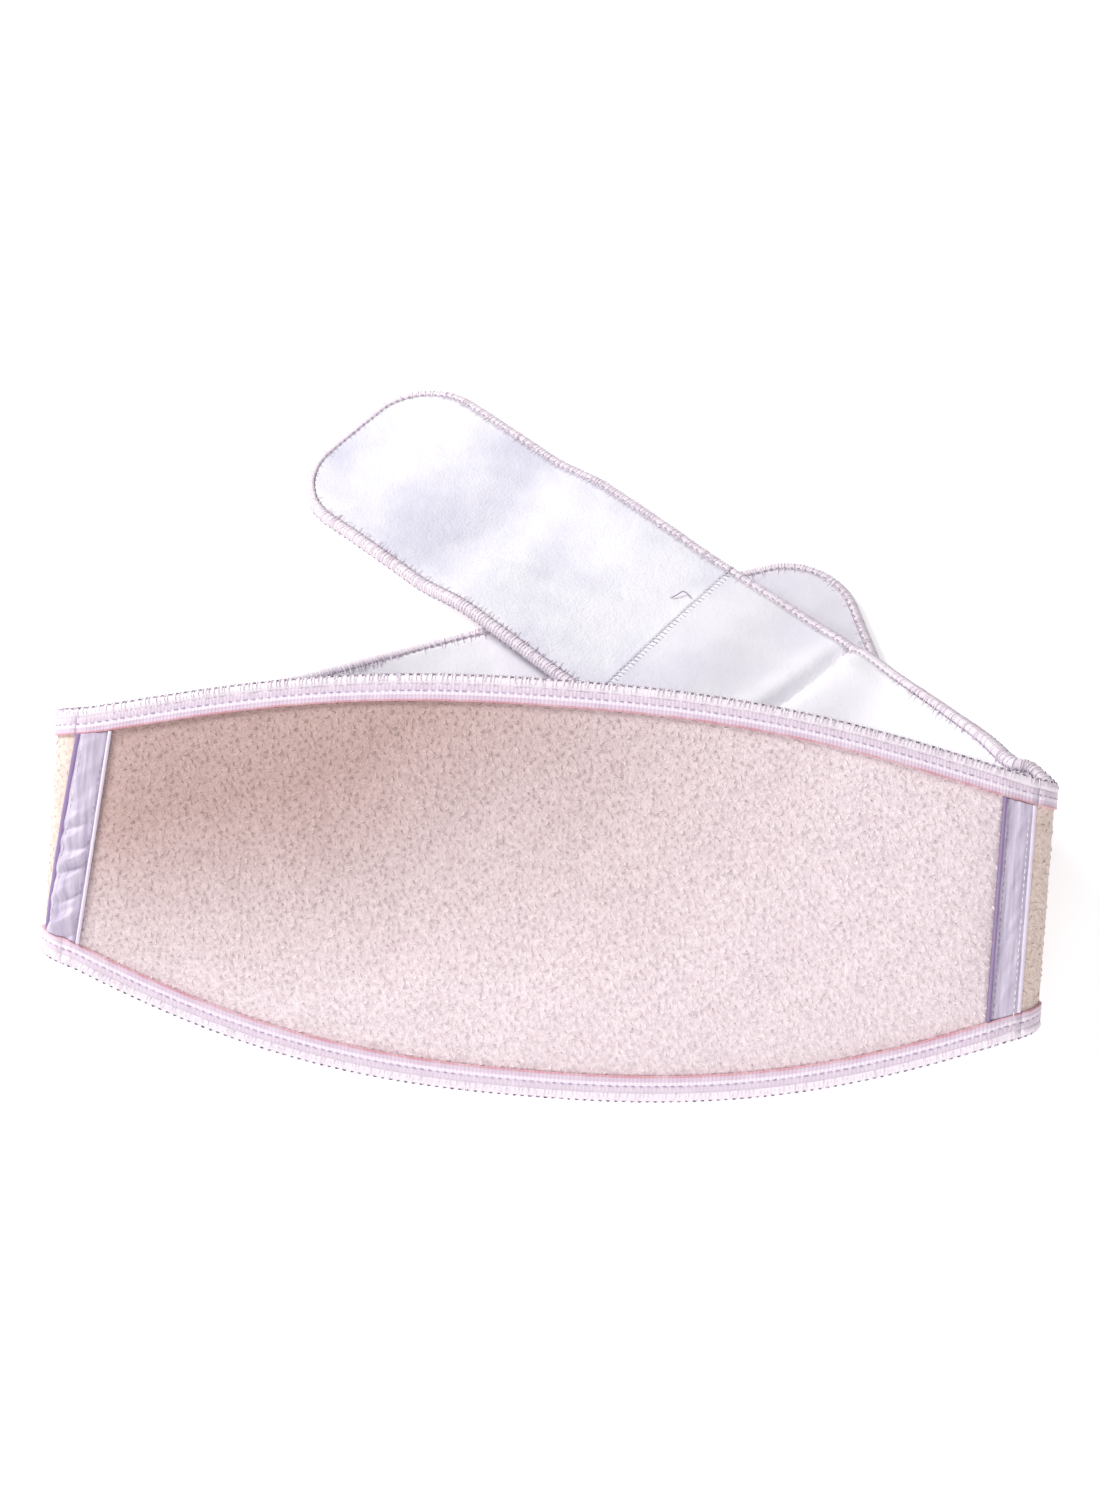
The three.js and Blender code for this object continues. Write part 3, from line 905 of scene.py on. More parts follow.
@dataclass(frozen=True)
class Satin:
    """Ribbon with a fine crosswise rib and a soft gloss."""

    name: str
    pale: Colour
    deep: Colour

    def material(self) -> bpy.types.Material:
        """Builds the finish."""
        made = Shading(self.name, Roughness=0.34, Anisotropic=0.5, Sheen_Weight=0.2)
        place = made.place(uv=True)
        rib = made.node("TexWave", {"Vector": place}, bands_direction="Y", Scale=900, Distortion=0.6)
        streak = made.node("Mapping", {"Vector": place}, Scale=(900, 60, 1))
        lustre = made.noise(1, streak.outputs["Vector"], 3)
        made.colour(made.ramp(lustre, [(0.3, self.deep), (0.7, self.pale)]))
        made.rough(lustre, 0.28, 0.45)
        made.raise_by([(rib.outputs["Fac"], 0.00003)])
        return made.material


@dataclass(frozen=True)
class Thread:
    """Twisted sewing thread, varied from stitch to stitch."""

    name: str
    pale: Colour
    deep: Colour

    def material(self) -> bpy.types.Material:
        """Builds the finish."""
        made = Shading(self.name, Roughness=0.6, Sheen_Weight=0.3)
        place = made.place()
        shade = made.node("Attribute", attribute_name="shade").outputs["Fac"]
        grain = made.noise(2600, place, 2)
        stitch = made.ramp(shade, [(0.15, self.deep), (0.8, self.pale)])
        made.colour(made.turned(grain, [(0.35, 0.35), (0.6, 0)], stitch, self.deep))
        made.rough(grain, 0.5, 0.75)
        made.raise_by([(grain, 0.00008)])
        return made.material


@dataclass(frozen=True)
class EdgeTape:
    """Folded binding: a red line at its inner edge, partly pink thread and partly painted shadow, then
    lilac, white and lilac bands, the white one a painted highlight along the tape's ridge.
    """

    name: str
    line: Colour
    band: Colour
    ridge: Colour
    outer: Colour

    def material(self) -> bpy.types.Material:
        """Builds the finish, banded by distance in from the band's edge."""
        made = Shading(self.name, Roughness=0.55, Sheen_Weight=0.3)
        place = made.place(uv=True)
        inward = made.node("SeparateXYZ", {"Vector": place}).outputs["Y"]
        first, last = CLOTH_INSET * MM, (CLOTH_INSET + TAPE_WIDTH) * MM
        share = made.node("MapRange", {"Value": inward}, From_Min=first, From_Max=last)
        # The white band sits on the tape's raised ridge as a painted highlight; the red line at the inner
        # edge is pink thread with painted shadow.
        stops = [
            (0.0, self.outer),
            (0.3, self.outer),
            (0.36, self.ridge),
            (0.54, self.ridge),
            (0.62, self.band),
            (0.84, self.band),
            (0.9, self.line),
            (1.0, self.line),
        ]
        bands = made.ramp(share.outputs["Result"], stops)
        rib = made.node("TexWave", {"Vector": place}, bands_direction="X", Scale=330, Distortion=1.2)
        worn = made.noise(240, place, 3)
        faded = made.turned(worn, [(0.4, 0), (0.75, 0.45)], bands, self.ridge)
        made.colour(made.turned(rib.outputs["Fac"], [(0, 0.12), (1, 0)], faded, self.band))
        made.rough(worn, 0.45, 0.7)
        made.raise_by([(rib.outputs["Fac"], 0.00006), (worn, 0.0001)])
        return made.material


@dataclass(frozen=True)
class Foam:
    """Fine open-cell interlining."""

    name: str
    colour: Colour

    def material(self) -> bpy.types.Material:
        """Builds the finish."""
        made = Shading(self.name, Roughness=0.95)
        cells = made.node("TexVoronoi", {"Vector": made.place()}, Scale=900)
        dark = tuple(0.7 * level for level in self.colour)
        made.colour(made.ramp(cells.outputs["Distance"], [(0.1, dark), (0.5, self.colour)]))
        made.raise_by([(cells.outputs["Distance"], 0.0002)])
        return made.material


@dataclass(frozen=True)
class WovenTape:
    """Close-woven nylon base of the hook patch."""

    name: str
    pale: Colour
    deep: Colour

    def material(self) -> bpy.types.Material:
        """Builds the finish."""
        made = Shading(self.name, Roughness=0.5)
        place = made.place(uv=True)
        warp = made.node("TexWave", {"Vector": place}, bands_direction="X", Scale=420)
        weft = made.node("TexWave", {"Vector": place}, bands_direction="Y", Scale=420)
        weave = made.node("Math", {0: warp.outputs["Fac"], 1: weft.outputs["Fac"]}, operation="MULTIPLY")
        made.colour(made.ramp(weave.outputs[0], [(0.05, self.deep), (0.6, self.pale)]))
        made.rough(weave.outputs[0], 0.4, 0.6)
        made.raise_by([(weave.outputs[0], 0.0001)])
        return made.material


class Finishes:
    """Every finish on the headband, made once."""

    def __init__(self) -> None:
        """Builds the materials."""
        # Painted shade colour, multiplied over the front's towelling towards its upper left; the wings get
        # none.
        painted_shade = tint(208, 190, 181)
        self.panel_pile = Terry(
            "pink_towelling", tint(246, 235, 237), tint(219, 202, 206), painted_shade, 1, True
        ).material()
        self.panel_ground = Terry(
            "pink_towelling_ground", tint(241, 227, 230), tint(217, 199, 204), painted_shade, 1, False
        ).material()
        self.wing_pile = Terry(
            "beige_towelling", tint(238, 219, 207), tint(214, 190, 177), painted_shade, 0, True
        ).material()
        self.wing_ground = Terry(
            "beige_towelling_ground", tint(234, 216, 206), tint(212, 190, 178), painted_shade, 0, False
        ).material()
        # Each lining's deep colour is a lilac-grey painted shade for its clouds, and it also tints the fine
        # fibre flecks.
        self.lining = BrushedKnit(
            "brushed_lining", tint(238, 236, 240), tint(222, 219, 230), 0.0003
        ).material()
        self.loop_panel = BrushedKnit(
            "brushed_loop_panel", tint(239, 238, 242), tint(211, 209, 224), 0.0006
        ).material()
        self.satin = Satin("lilac_satin", tint(216, 206, 222), tint(172, 160, 184)).material()
        self.piping = Thread("white_piping", tint(244, 240, 248), tint(226, 216, 232)).material()
        # Painted shade: the purple cord stands in for the shadowed groove along one side of each ribbon.
        self.groove = Thread("purple_piping", tint(170, 150, 186), tint(140, 118, 160)).material()
        self.tape = EdgeTape(
            "banded_tape",
            line=tint(204, 140, 150),
            band=tint(208, 186, 204),
            # ridge is a painted highlight; line is pink thread with painted shadow.
            ridge=tint(236, 226, 236),
            outer=tint(214, 198, 212),
        ).material()
        self.overlock = Thread("overlock_core", tint(243, 235, 241), tint(234, 225, 233)).material()
        self.pink_stitch = Thread("pink_thread", tint(249, 243, 247), tint(230, 214, 226)).material()
        # Painted shadow: this dark thread stands in for the shadowed gaps between the overlock stitches.
        self.painted_gap_shadow_stitch = Thread("dark_thread", tint(150, 132, 154), tint(92, 78, 100)).material()
        self.lilac_stitch = Thread("lilac_thread", tint(200, 180, 204), tint(160, 138, 170)).material()
        self.white_stitch = Thread("white_thread", tint(250, 248, 251), tint(222, 214, 228)).material()
        self.foam = Foam("interlining_foam", tint(240, 234, 216)).material()
        self.hook_base = WovenTape("hook_tape_weave", tint(240, 238, 243), tint(208, 204, 214)).material()


# ---- What repeats ----


@dataclass(frozen=True)
class Spread:
    """The range of a random vector, and what it adds to its tree's seed."""

    low: tuple[float, float, float]
    high: tuple[float, float, float]
    offset: int


class GrowTree(NodeTree):
    """A Geometry Nodes tree with named inputs, grown into a plain mesh."""

    def __init__(self, name: str, asked: dict[str, str]) -> None:
        """Starts a tree with a geometry input and output.

        Args:
            name: The tree's name.
            asked: Its other inputs, as socket types by name.
        """
        super().__init__(bpy.data.node_groups.new(name, "GeometryNodeTree"))
        self.sockets: dict[str, str] = {}
        # The CAD model's box, which the visual model's box is set beside.
        self.tree.interface.new_socket(name="Geometry", in_out="OUTPUT", socket_type="NodeSocketGeometry")
        for label, kind in {"Geometry": "Geometry", **asked}.items():
            made = self.tree.interface.new_socket(
                name=label, in_out="INPUT", socket_type=f"NodeSocket{kind}"
            )
            self.sockets[label] = made.identifier
        self.inputs: bpy.types.Node | None = None

    def given(self, name: str) -> bpy.types.NodeSocket:
        """The tree's own input of that name."""
        if self.inputs is None:
            self.inputs = self.node("NodeGroupInput")
        return self.inputs.outputs[name]

    def attribute(self, name: str) -> bpy.types.NodeSocket:
        """A vector stored on the path's points."""
        made = self.node("GeometryNodeInputNamedAttribute", data_type="FLOAT_VECTOR")
        made.inputs["Name"].default_value = name
        return made.outputs["Attribute"]

    def random_vector(self, spread: Spread) -> bpy.types.NodeSocket:
        """A random vector for each copy, from the tree's seed."""
        seed = self.node("ShaderNodeMath", {0: self.given("Seed")}, operation="ADD")
        seed.inputs[1].default_value = spread.offset
        made = self.node("FunctionNodeRandomValue", {"Seed": seed.outputs[0]}, data_type="FLOAT_VECTOR")
        made.inputs[0].default_value, made.inputs[1].default_value = spread.low, spread.high
        return made.outputs[0]

    def end(self, copies: bpy.types.Node, turn: Spread, swell: Spread) -> None:
        """Varies the copies' lean, size and shade, makes them real and gives them their material."""
        lean = self.random_vector(turn)
        turned = self.node(
            "GeometryNodeRotateInstances", {"Instances": copies.outputs["Instances"], "Rotation": lean}
        )
        scale = self.random_vector(swell)
        scaled = self.node(
            "GeometryNodeScaleInstances", {"Instances": turned.outputs["Instances"], "Scale": scale}
        )
        shade = self.node("FunctionNodeRandomValue", {"Seed": self.given("Seed")}, data_type="FLOAT")
        stored = self.node(
            "GeometryNodeStoreNamedAttribute",
            {"Geometry": scaled.outputs["Instances"], "Value": shade.outputs[1]},
            data_type="FLOAT",
            domain="INSTANCE",
        )
        stored.inputs["Name"].default_value = "shade"
        real = self.node("GeometryNodeRealizeInstances", {"Geometry": stored.outputs["Geometry"]})
        dressed = self.node(
            "GeometryNodeSetMaterial",
            {"Geometry": real.outputs["Geometry"], "Material": self.given("Finish")},
        )
        out = self.node("NodeGroupOutput")
        self.tree.links.new(dressed.outputs["Geometry"], out.inputs["Geometry"])

    def grow(self, name: str, base: bpy.types.Object, **values: object) -> bpy.types.Object:
        """Grows the tree on a base, which is used up.

        Args:
            name: The new piece's name.
            base: The path or surface that it grows on.
            values: The tree's inputs, with _ for a space.

        Returns:
            A plain mesh object at the origin.
        """
        modifier = base.modifiers.new("grow", "NODES")
        modifier.node_group = self.tree
        for key, value in values.items():
            modifier[self.sockets[key.replace("_", " ")]] = value
        bpy.context.view_layer.update()
        graph = bpy.context.evaluated_depsgraph_get()
        mesh = bpy.data.meshes.new_from_object(base.evaluated_get(graph))
        mesh.name = name
        mesh.polygons.foreach_set("use_smooth", np.ones(len(mesh.polygons), bool))
        base.modifiers.remove(modifier)
        bpy.data.objects.remove(base)
        piece = bpy.data.objects.new(name, mesh)
        bpy.context.scene.collection.objects.link(piece)
        return piece


def stitch_tree() -> GrowTree:
    """Copies of a stitch at an even pitch along a path, turned to the cloth that they lie on."""
    asked = {"Pitch": "Float", "Stitch": "Object", "Finish": "Material", "Seed": "Int"}
    made = GrowTree("stitch_run", asked)
    line = made.node("GeometryNodeMeshToCurve", {"Mesh": made.given("Geometry")})
    even = made.node(
        "GeometryNodeResampleCurve",
        {"Curve": line.outputs["Curve"], "Length": made.given("Pitch")},
        mode="LENGTH",
    )
    turned = made.node(
        "FunctionNodeAxesToRotation",
        {"Primary Axis": made.attribute("facing"), "Secondary Axis": made.attribute("heading")},
        primary_axis="Z",
        secondary_axis="X",
    )
    stitch = made.node("GeometryNodeObjectInfo", {"Object": made.given("Stitch")}, As_Instance=True)
    copies = made.node(
        "GeometryNodeInstanceOnPoints",
        {
            "Points": even.outputs["Curve"],
            "Instance": stitch.outputs["Geometry"],
            "Rotation": turned.outputs["Rotation"],
            "Scale": made.attribute("size"),
        },
    )
    turn = Spread((-0.1, -0.08, -0.16), (0.1, 0.08, 0.16), 5)
    made.end(copies, turn, Spread((0.88, 0.9, 0.95), (1.12, 1.06, 1.05), 9))
    return made


LOOPS_PER_SQUARE_METRE = 4e6


def pile_tree() -> GrowTree:
    """Copies of a loop scattered over a cloth, each leaning its own way."""
    asked = {"Spacing": "Float", "Loop": "Object", "Finish": "Material", "Seed": "Int"}
    made = GrowTree("pile", asked)
    points = made.node(
        "GeometryNodeDistributePointsOnFaces",
        {"Mesh": made.given("Geometry"), "Distance Min": made.given("Spacing"), "Seed": made.given("Seed")},
        distribute_method="POISSON",
    )
    points.inputs["Density Max"].default_value = LOOPS_PER_SQUARE_METRE
    loop = made.node("GeometryNodeObjectInfo", {"Object": made.given("Loop")}, As_Instance=True)
    copies = made.node(
        "GeometryNodeInstanceOnPoints",
        {
            "Points": points.outputs["Points"],
            "Instance": loop.outputs["Geometry"],
            "Rotation": points.outputs["Rotation"],
        },
    )
    turn = Spread((-0.35, -0.35, -math.pi), (0.35, 0.35, math.pi), 3)
    made.end(copies, turn, Spread((0.75, 0.8, 0.7), (1.2, 1.2, 1.15), 8))
    return made


class StitchKind(Enum):
    """The stitches and loops on the band."""

    DASH = "dash"
    WRAP = "wrap"
    KNOT = "knot"
    WHISKER = "whisker"
    BAR = "bar"
    LOOP = "loop"
    HOOK = "hook"


@dataclass(frozen=True)
class StitchShape:
    """One stitch as a bent thread: x along its run, y in from the edge, z out from the cloth."""

    path: Sequence[tuple[float, float, float]]
    radius: float
    sides: int


SHAPES = {
    StitchKind.DASH: StitchShape(
        [(-0.62, 0, -0.05), (-0.3, 0, 0.1), (0.3, 0, 0.1), (0.62, 0, -0.05)], 0.14, 5
    ),
    StitchKind.WRAP: StitchShape(
        [
            (0.4, 2.6, 1.6),
            (0.25, 1.3, 1.8),
            (0.1, 0.25, 1.3),
            (0.0, -0.08, 0.4),
            (0.0, -0.08, -0.4),
            (-0.1, 0.25, -1.3),
            (-0.2, 1.3, -1.8),
            (-0.3, 2.6, -1.66),
            (-0.35, 4.4, -1.22),
        ],
        0.12,
        4,
    ),
    StitchKind.KNOT: StitchShape(
        [(-0.48, 0.12, 0.1), (-0.16, -0.1, 0.14), (0.16, -0.1, -0.1), (0.48, 0.12, 0.1)], 0.26, 5
    ),
    StitchKind.WHISKER: StitchShape([(0, 0.3, 0), (0.15, -0.3, 0.1), (0.4, -0.7, 0.3)], 0.05, 3),
    StitchKind.BAR: StitchShape(
        [(-0.25, -1.1, -0.1), (-0.1, -0.5, 0.16), (0.1, 0.5, 0.16), (0.25, 1.1, -0.1)], 0.15, 4
    ),
    StitchKind.LOOP: StitchShape(
        [
            (0.62 * math.cos(a), 0.15 * math.sin(2 * a), 0.42 * math.sin(a) - 0.16)
            for a in np.linspace(0, math.pi, 5)
        ],
        0.4,
        3,
    ),
    StitchKind.HOOK: StitchShape(
        [(0.35 * math.cos(a) + 0.1, 0, 0.55 * math.sin(a) + 0.1) for a in np.linspace(0, math.pi, 6)[:5]],
        0.09,
        4,
    ),
}


FIRST_SEED = 11


class Needle:
    """Sews stitches along runs and raises pile on cloth."""

    def __init__(self, band: Band) -> None:
        """Makes the trees and one template of each stitch."""
        self.band = band
        self.stitches = stitch_tree()
        self.pile = pile_tree()
        self.seed = FIRST_SEED
        self.templates = {
            kind: thread(f"template_{kind.value}", shape.path, shape.radius, shape.sides)
            for kind, shape in SHAPES.items()
        }

    def sew(
        self,
        name: str,
        kind: StitchKind,
        run: Outline,
        inset: float,
        out: Array | float,
        pitch: float,
        finish: bpy.types.Material,
        size: tuple[float, float, Array | float] = (1, 1, 1),
    ) -> bpy.types.Object:
        """Sews one kind of stitch along a run.

        Args:
            name: The piece's name.
            kind: Which stitch.
            run: The edge that the line of stitches follows.
            inset: How far in from that edge it runs.
            out: How far out from the cloth's middle it lies.
            pitch: The distance from one stitch to the next.
            finish: The thread's material.
            size: Scale of the stitch along the run, inwards and outwards.

        Returns:
            The stitches as one mesh.
        """
        along, across = run.inset(inset)
        places = self.band.lay(along, across, out)
        facing = self.band.normal(along, across)
        heading = np.gradient(places, axis=0)
        heading /= np.linalg.norm(heading, axis=1, keepdims=True)
        scale = np.stack([np.broadcast_to(value, along.shape) for value in size], -1)
        mesh = bpy.data.meshes.new("path")
        mesh.from_pydata(places.tolist(), [(i, i + 1) for i in range(len(places) - 1)], [])
        for label, values in (("facing", facing), ("heading", heading), ("size", scale)):
            stored = mesh.attributes.new(label, "FLOAT_VECTOR", "POINT")
            stored.data.foreach_set("vector", np.ascontiguousarray(values, np.float32).ravel())
        path = bpy.data.objects.new("path", mesh)
        bpy.context.scene.collection.objects.link(path)
        self.seed += 1
        return self.stitches.grow(
            name, path, Pitch=pitch * MM, Stitch=self.templates[kind], Finish=finish, Seed=self.seed
        )

    def raise_pile(
        self,
        name: str,
        kind: StitchKind,
        along: Array,
        across: Array,
        out: Array | float,
        spacing: float,
        finish: bpy.types.Material,
    ) -> bpy.types.Object:
        """Scatters loops or hooks over a stretch of the band.

        Args:
            name: The piece's name.
            kind: Which loop.
            along: Places along the band, as a grid.
            across: Places across it, as a grid.
            out: How far out the loops stand.
            spacing: The least distance from one to the next.
            finish: Their material.

        Returns:
            The pile as one mesh.
        """
        base = new_piece("base", self.band.lay(along, across, out), grid_faces(*along.shape))
        self.seed += 1
        return self.pile.grow(
            name, base, Spacing=spacing * MM, Loop=self.templates[kind], Finish=finish, Seed=self.seed
        )

    def put_away(self) -> None:
        """Removes the templates, which aren't part of the band."""
        for template in self.templates.values():
            bpy.data.objects.remove(template)


# ---- How pieces follow the bodies ----


@dataclass(frozen=True)
class Follow:
    """The CAD body or bodies that a piece moves with."""

    bodies: tuple[str, ...]
    start: tuple[float, ...] = ()
    end: tuple[float, ...] = ()

    def attach(self, piece: bpy.types.Object) -> None:
        """Rides a piece on one body; a piece between two bodies is only baked in place."""
        if len(self.bodies) == 1:
            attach(piece, self.bodies[0])
        else:
            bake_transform(piece)


CURL_SPAN = (1, 24)


@dataclass
class Workroom:
    """What every sub-assembly needs: the surface, the finishes and the needle."""

    band: Band
    finishes: Finishes
    needle: Needle

    def __post_init__(self) -> None:
        """Works out how pieces follow the four bodies."""
        band = self.band
        depth = 2 * band.fold_radius
        self.front = Follow(("front_panel",))
        folds = {}
        for side, body in ((Side.LEFT, "left_wing"), (Side.RIGHT, "right_wing")):
            x = np.array([side.value * band.fold_start])
            start = band.slope_point(x, band.lens_axis, 0)[0] * MM
            end = band.slope_point(x, band.lens_axis, depth)[0] * MM
            folds[side] = Follow(("front_panel", body), tuple(start), tuple(end))
        self.folds = folds
        seam = band.seam_along(Side.RIGHT)
        middle = np.array([band.width / 2])
        ends = [band.point(np.array([seam + past]), middle)[0] * MM for past in CURL_SPAN]
        self.curl = Follow(("right_wing", "right_tip"), tuple(ends[0]), tuple(ends[1]))

    def finish_piece(
        self,
        piece: bpy.types.Object,
        material: bpy.types.Material | None,
        follow: Follow,
        slot: str,
        stands_for: Sequence[str] = (),
    ) -> bpy.types.Object:
        """Dresses a piece, joins it to its bodies and reports it.

        Args:
            piece: The piece, with its mesh final.
            material: Its finish, or None where its mesh already has one.
            follow: The bodies that it moves with.
            slot: The record's material slot. It is not used.
            stands_for: The CAD nodes that it replaces.

        Returns:
            The same piece.
        """
        if material is not None:
            piece.data.materials.clear()
            piece.data.materials.append(material)
        follow.attach(piece)
        if stands_for:
            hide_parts(*stands_for)
        LOG.info("%s: %d faces", piece.name, len(piece.data.polygons))
        return piece


def cloth_grid(
    band: Band, start: float, end: float, step: float, inset: float, rounded: bool = False
) -> tuple[Array, Array]:
    """A grid of band places over a stretch of cloth.

    Args:
        band: The surface.
        start: Where the stretch begins along the band.
        end: Where it ends.
        step: The distance between places.
        inset: How far the cloth stops inside the band's edges.
        rounded: Whether the end away from the centre is a wing's rounded end.

    Returns:
        Grids of places along and across.
    """
    sign = 1 if end > 0 and abs(end) > abs(start) else -1
    radius = band.tip_radius - inset
    if rounded:
        near, far = (start, end) if sign > 0 else (end, start)
        rounding = abs(far) - band.tip_radius
        straight = np.linspace(abs(near), rounding, max(2, math.ceil((rounding - abs(near)) / step)))
        corner = rounding + radius * np.sin(np.linspace(0, math.pi / 2, ROUNDING_ROWS)[1:])
        line = np.concatenate([straight, corner])
        past = np.maximum(0, line - rounding)
        extra = radius - np.sqrt(np.maximum(0, radius**2 - past**2))
        line, extra = (sign * line, extra) if sign > 0 else (-line[::-1], extra[::-1])
    else:
        line = np.linspace(start, end, max(2, math.ceil((end - start) / step)))
        extra = np.zeros(len(line))
    rows = max(3, math.ceil(float(band.width_at(line).max()) / step))
    share = np.linspace(0, 1, rows)[None, :]
    low = (inset + extra)[:, None]
    high = (band.width_at(line) - inset - extra)[:, None]
    along = np.repeat(line[:, None], rows, 1)
    return along, low + (high - low) * share


# ---- Edge finish ----


TAPE_PROFILE = (
    (-0.7, -0.3),
    (-0.7, 0.2),
    (0, 0.42),
    (0.7, 0.4),
    (1.3, 0.26),
    (1.9, 0.5),
    (2.5, 0.38),
    (3.2, 0.36),
    (3.5, 0.5),
    (3.75, 0.36),
    (TAPE_WIDTH, 0.1),
    (TAPE_WIDTH, -0.5),
    (0.4, -0.4),
)
CORE_PROFILE = ((2.5, 0.9), (1.6, 0.98), (0.7, 0.86), (0.15, 0.45), (0, 0))


@dataclass
class EdgeFinish:
    """Binding tape, overlock core and stitches along one run of the band's edge."""

    room: Workroom
    run: Outline
    follow: Follow
    name: str
    tape_nodes: tuple[str, ...]
    overlock_nodes: tuple[str, ...]
    pitch: float = 1.9
    wrap_height: float = 3.5
    knots_at: float = 0.28

    def tape_section(self, along: Array) -> Array:
        """The tape's section: flat underneath, with a raised ridge and a rolled inner edge."""
        inner, _ = LAYERS.edge("tape", along)
        return np.stack(
            [np.stack([np.full_like(inner, CLOTH_INSET + d), inner + h], -1) for d, h in TAPE_PROFILE], 1
        )

    def core_section(self, along: Array) -> Array:
        """The overlocked edge's section, rounded over the edge from face to back."""
        back, face = LAYERS.edge("overlock", along)
        middle, half = (back + face) / 2, (face - back) / 2
        around = [*CORE_PROFILE, *((d, -h) for d, h in reversed(CORE_PROFILE[:-1]))]
        return np.stack(
            [np.stack([np.full_like(middle, d), middle + h * half], -1) for d, h in around], 1
        )

    def build(self) -> list[bpy.types.Object]:
        """Builds every layer of the edge finish.

        Returns:
            The tape, the overlock core, the wraps, knots, dashes and whiskers.
        """
        room, band, finishes = self.room, self.room.band, self.room.finishes
        needle, run = room.needle, self.run
        back, face = LAYERS.edge("overlock", run.along)
        middle, height = (back + face) / 2, face - back
        tape = swept(f"{self.name}_tape", band, run, self.tape_section)
        core = swept(f"{self.name}_overlock", band, run, self.core_section)
        _, tape_face = LAYERS.edge("tape", run.along)
        wraps = needle.sew(
            f"{self.name}_overlock_wraps",
            StitchKind.WRAP,
            run,
            inset=0,
            out=middle,
            pitch=self.pitch / 2,
            finish=finishes.pink_stitch,
            size=(1, 1, height / self.wrap_height),
        )
        # Knots in dark thread along the outer edge: painted shadow for the gaps between the overlock
        # stitches.
        knots = needle.sew(
            f"{self.name}_overlock_knots",
            StitchKind.KNOT,
            run,
            inset=0.3,
            out=middle + height * self.knots_at,
            pitch=self.pitch,
            finish=finishes.painted_gap_shadow_stitch,
        )
        dashes = needle.sew(
            f"{self.name}_tape_stitches",
            StitchKind.DASH,
            run,
            inset=CLOTH_INSET + 1.25,
            out=tape_face - 0.2,
            pitch=self.pitch,
            finish=finishes.lilac_stitch,
        )
        dots = needle.sew(
            f"{self.name}_overlock_dots",
            StitchKind.DASH,
            run,
            inset=OVERLOCK_WIDTH,
            out=back - 0.02,
            pitch=self.pitch,
            finish=finishes.lilac_stitch,
            size=(0.8, 1, -1),
        )
        fringe = needle.sew(
            f"{self.name}_fringe",
            StitchKind.WHISKER,
            run,
            inset=0.1,
            out=middle,
            pitch=0.55,
            finish=finishes.white_stitch,
        )
        slot = "overlock_thread"
        return [
            room.finish_piece(tape, finishes.tape, self.follow, "edge_tape", self.tape_nodes),
            room.finish_piece(core, finishes.overlock, self.follow, slot, self.overlock_nodes),
            *(
                room.finish_piece(stitches, None, self.follow, slot)
                for stitches in (wraps, knots, dashes, dots, fringe)
            ),
        ]


# ---- Sub-assemblies ----


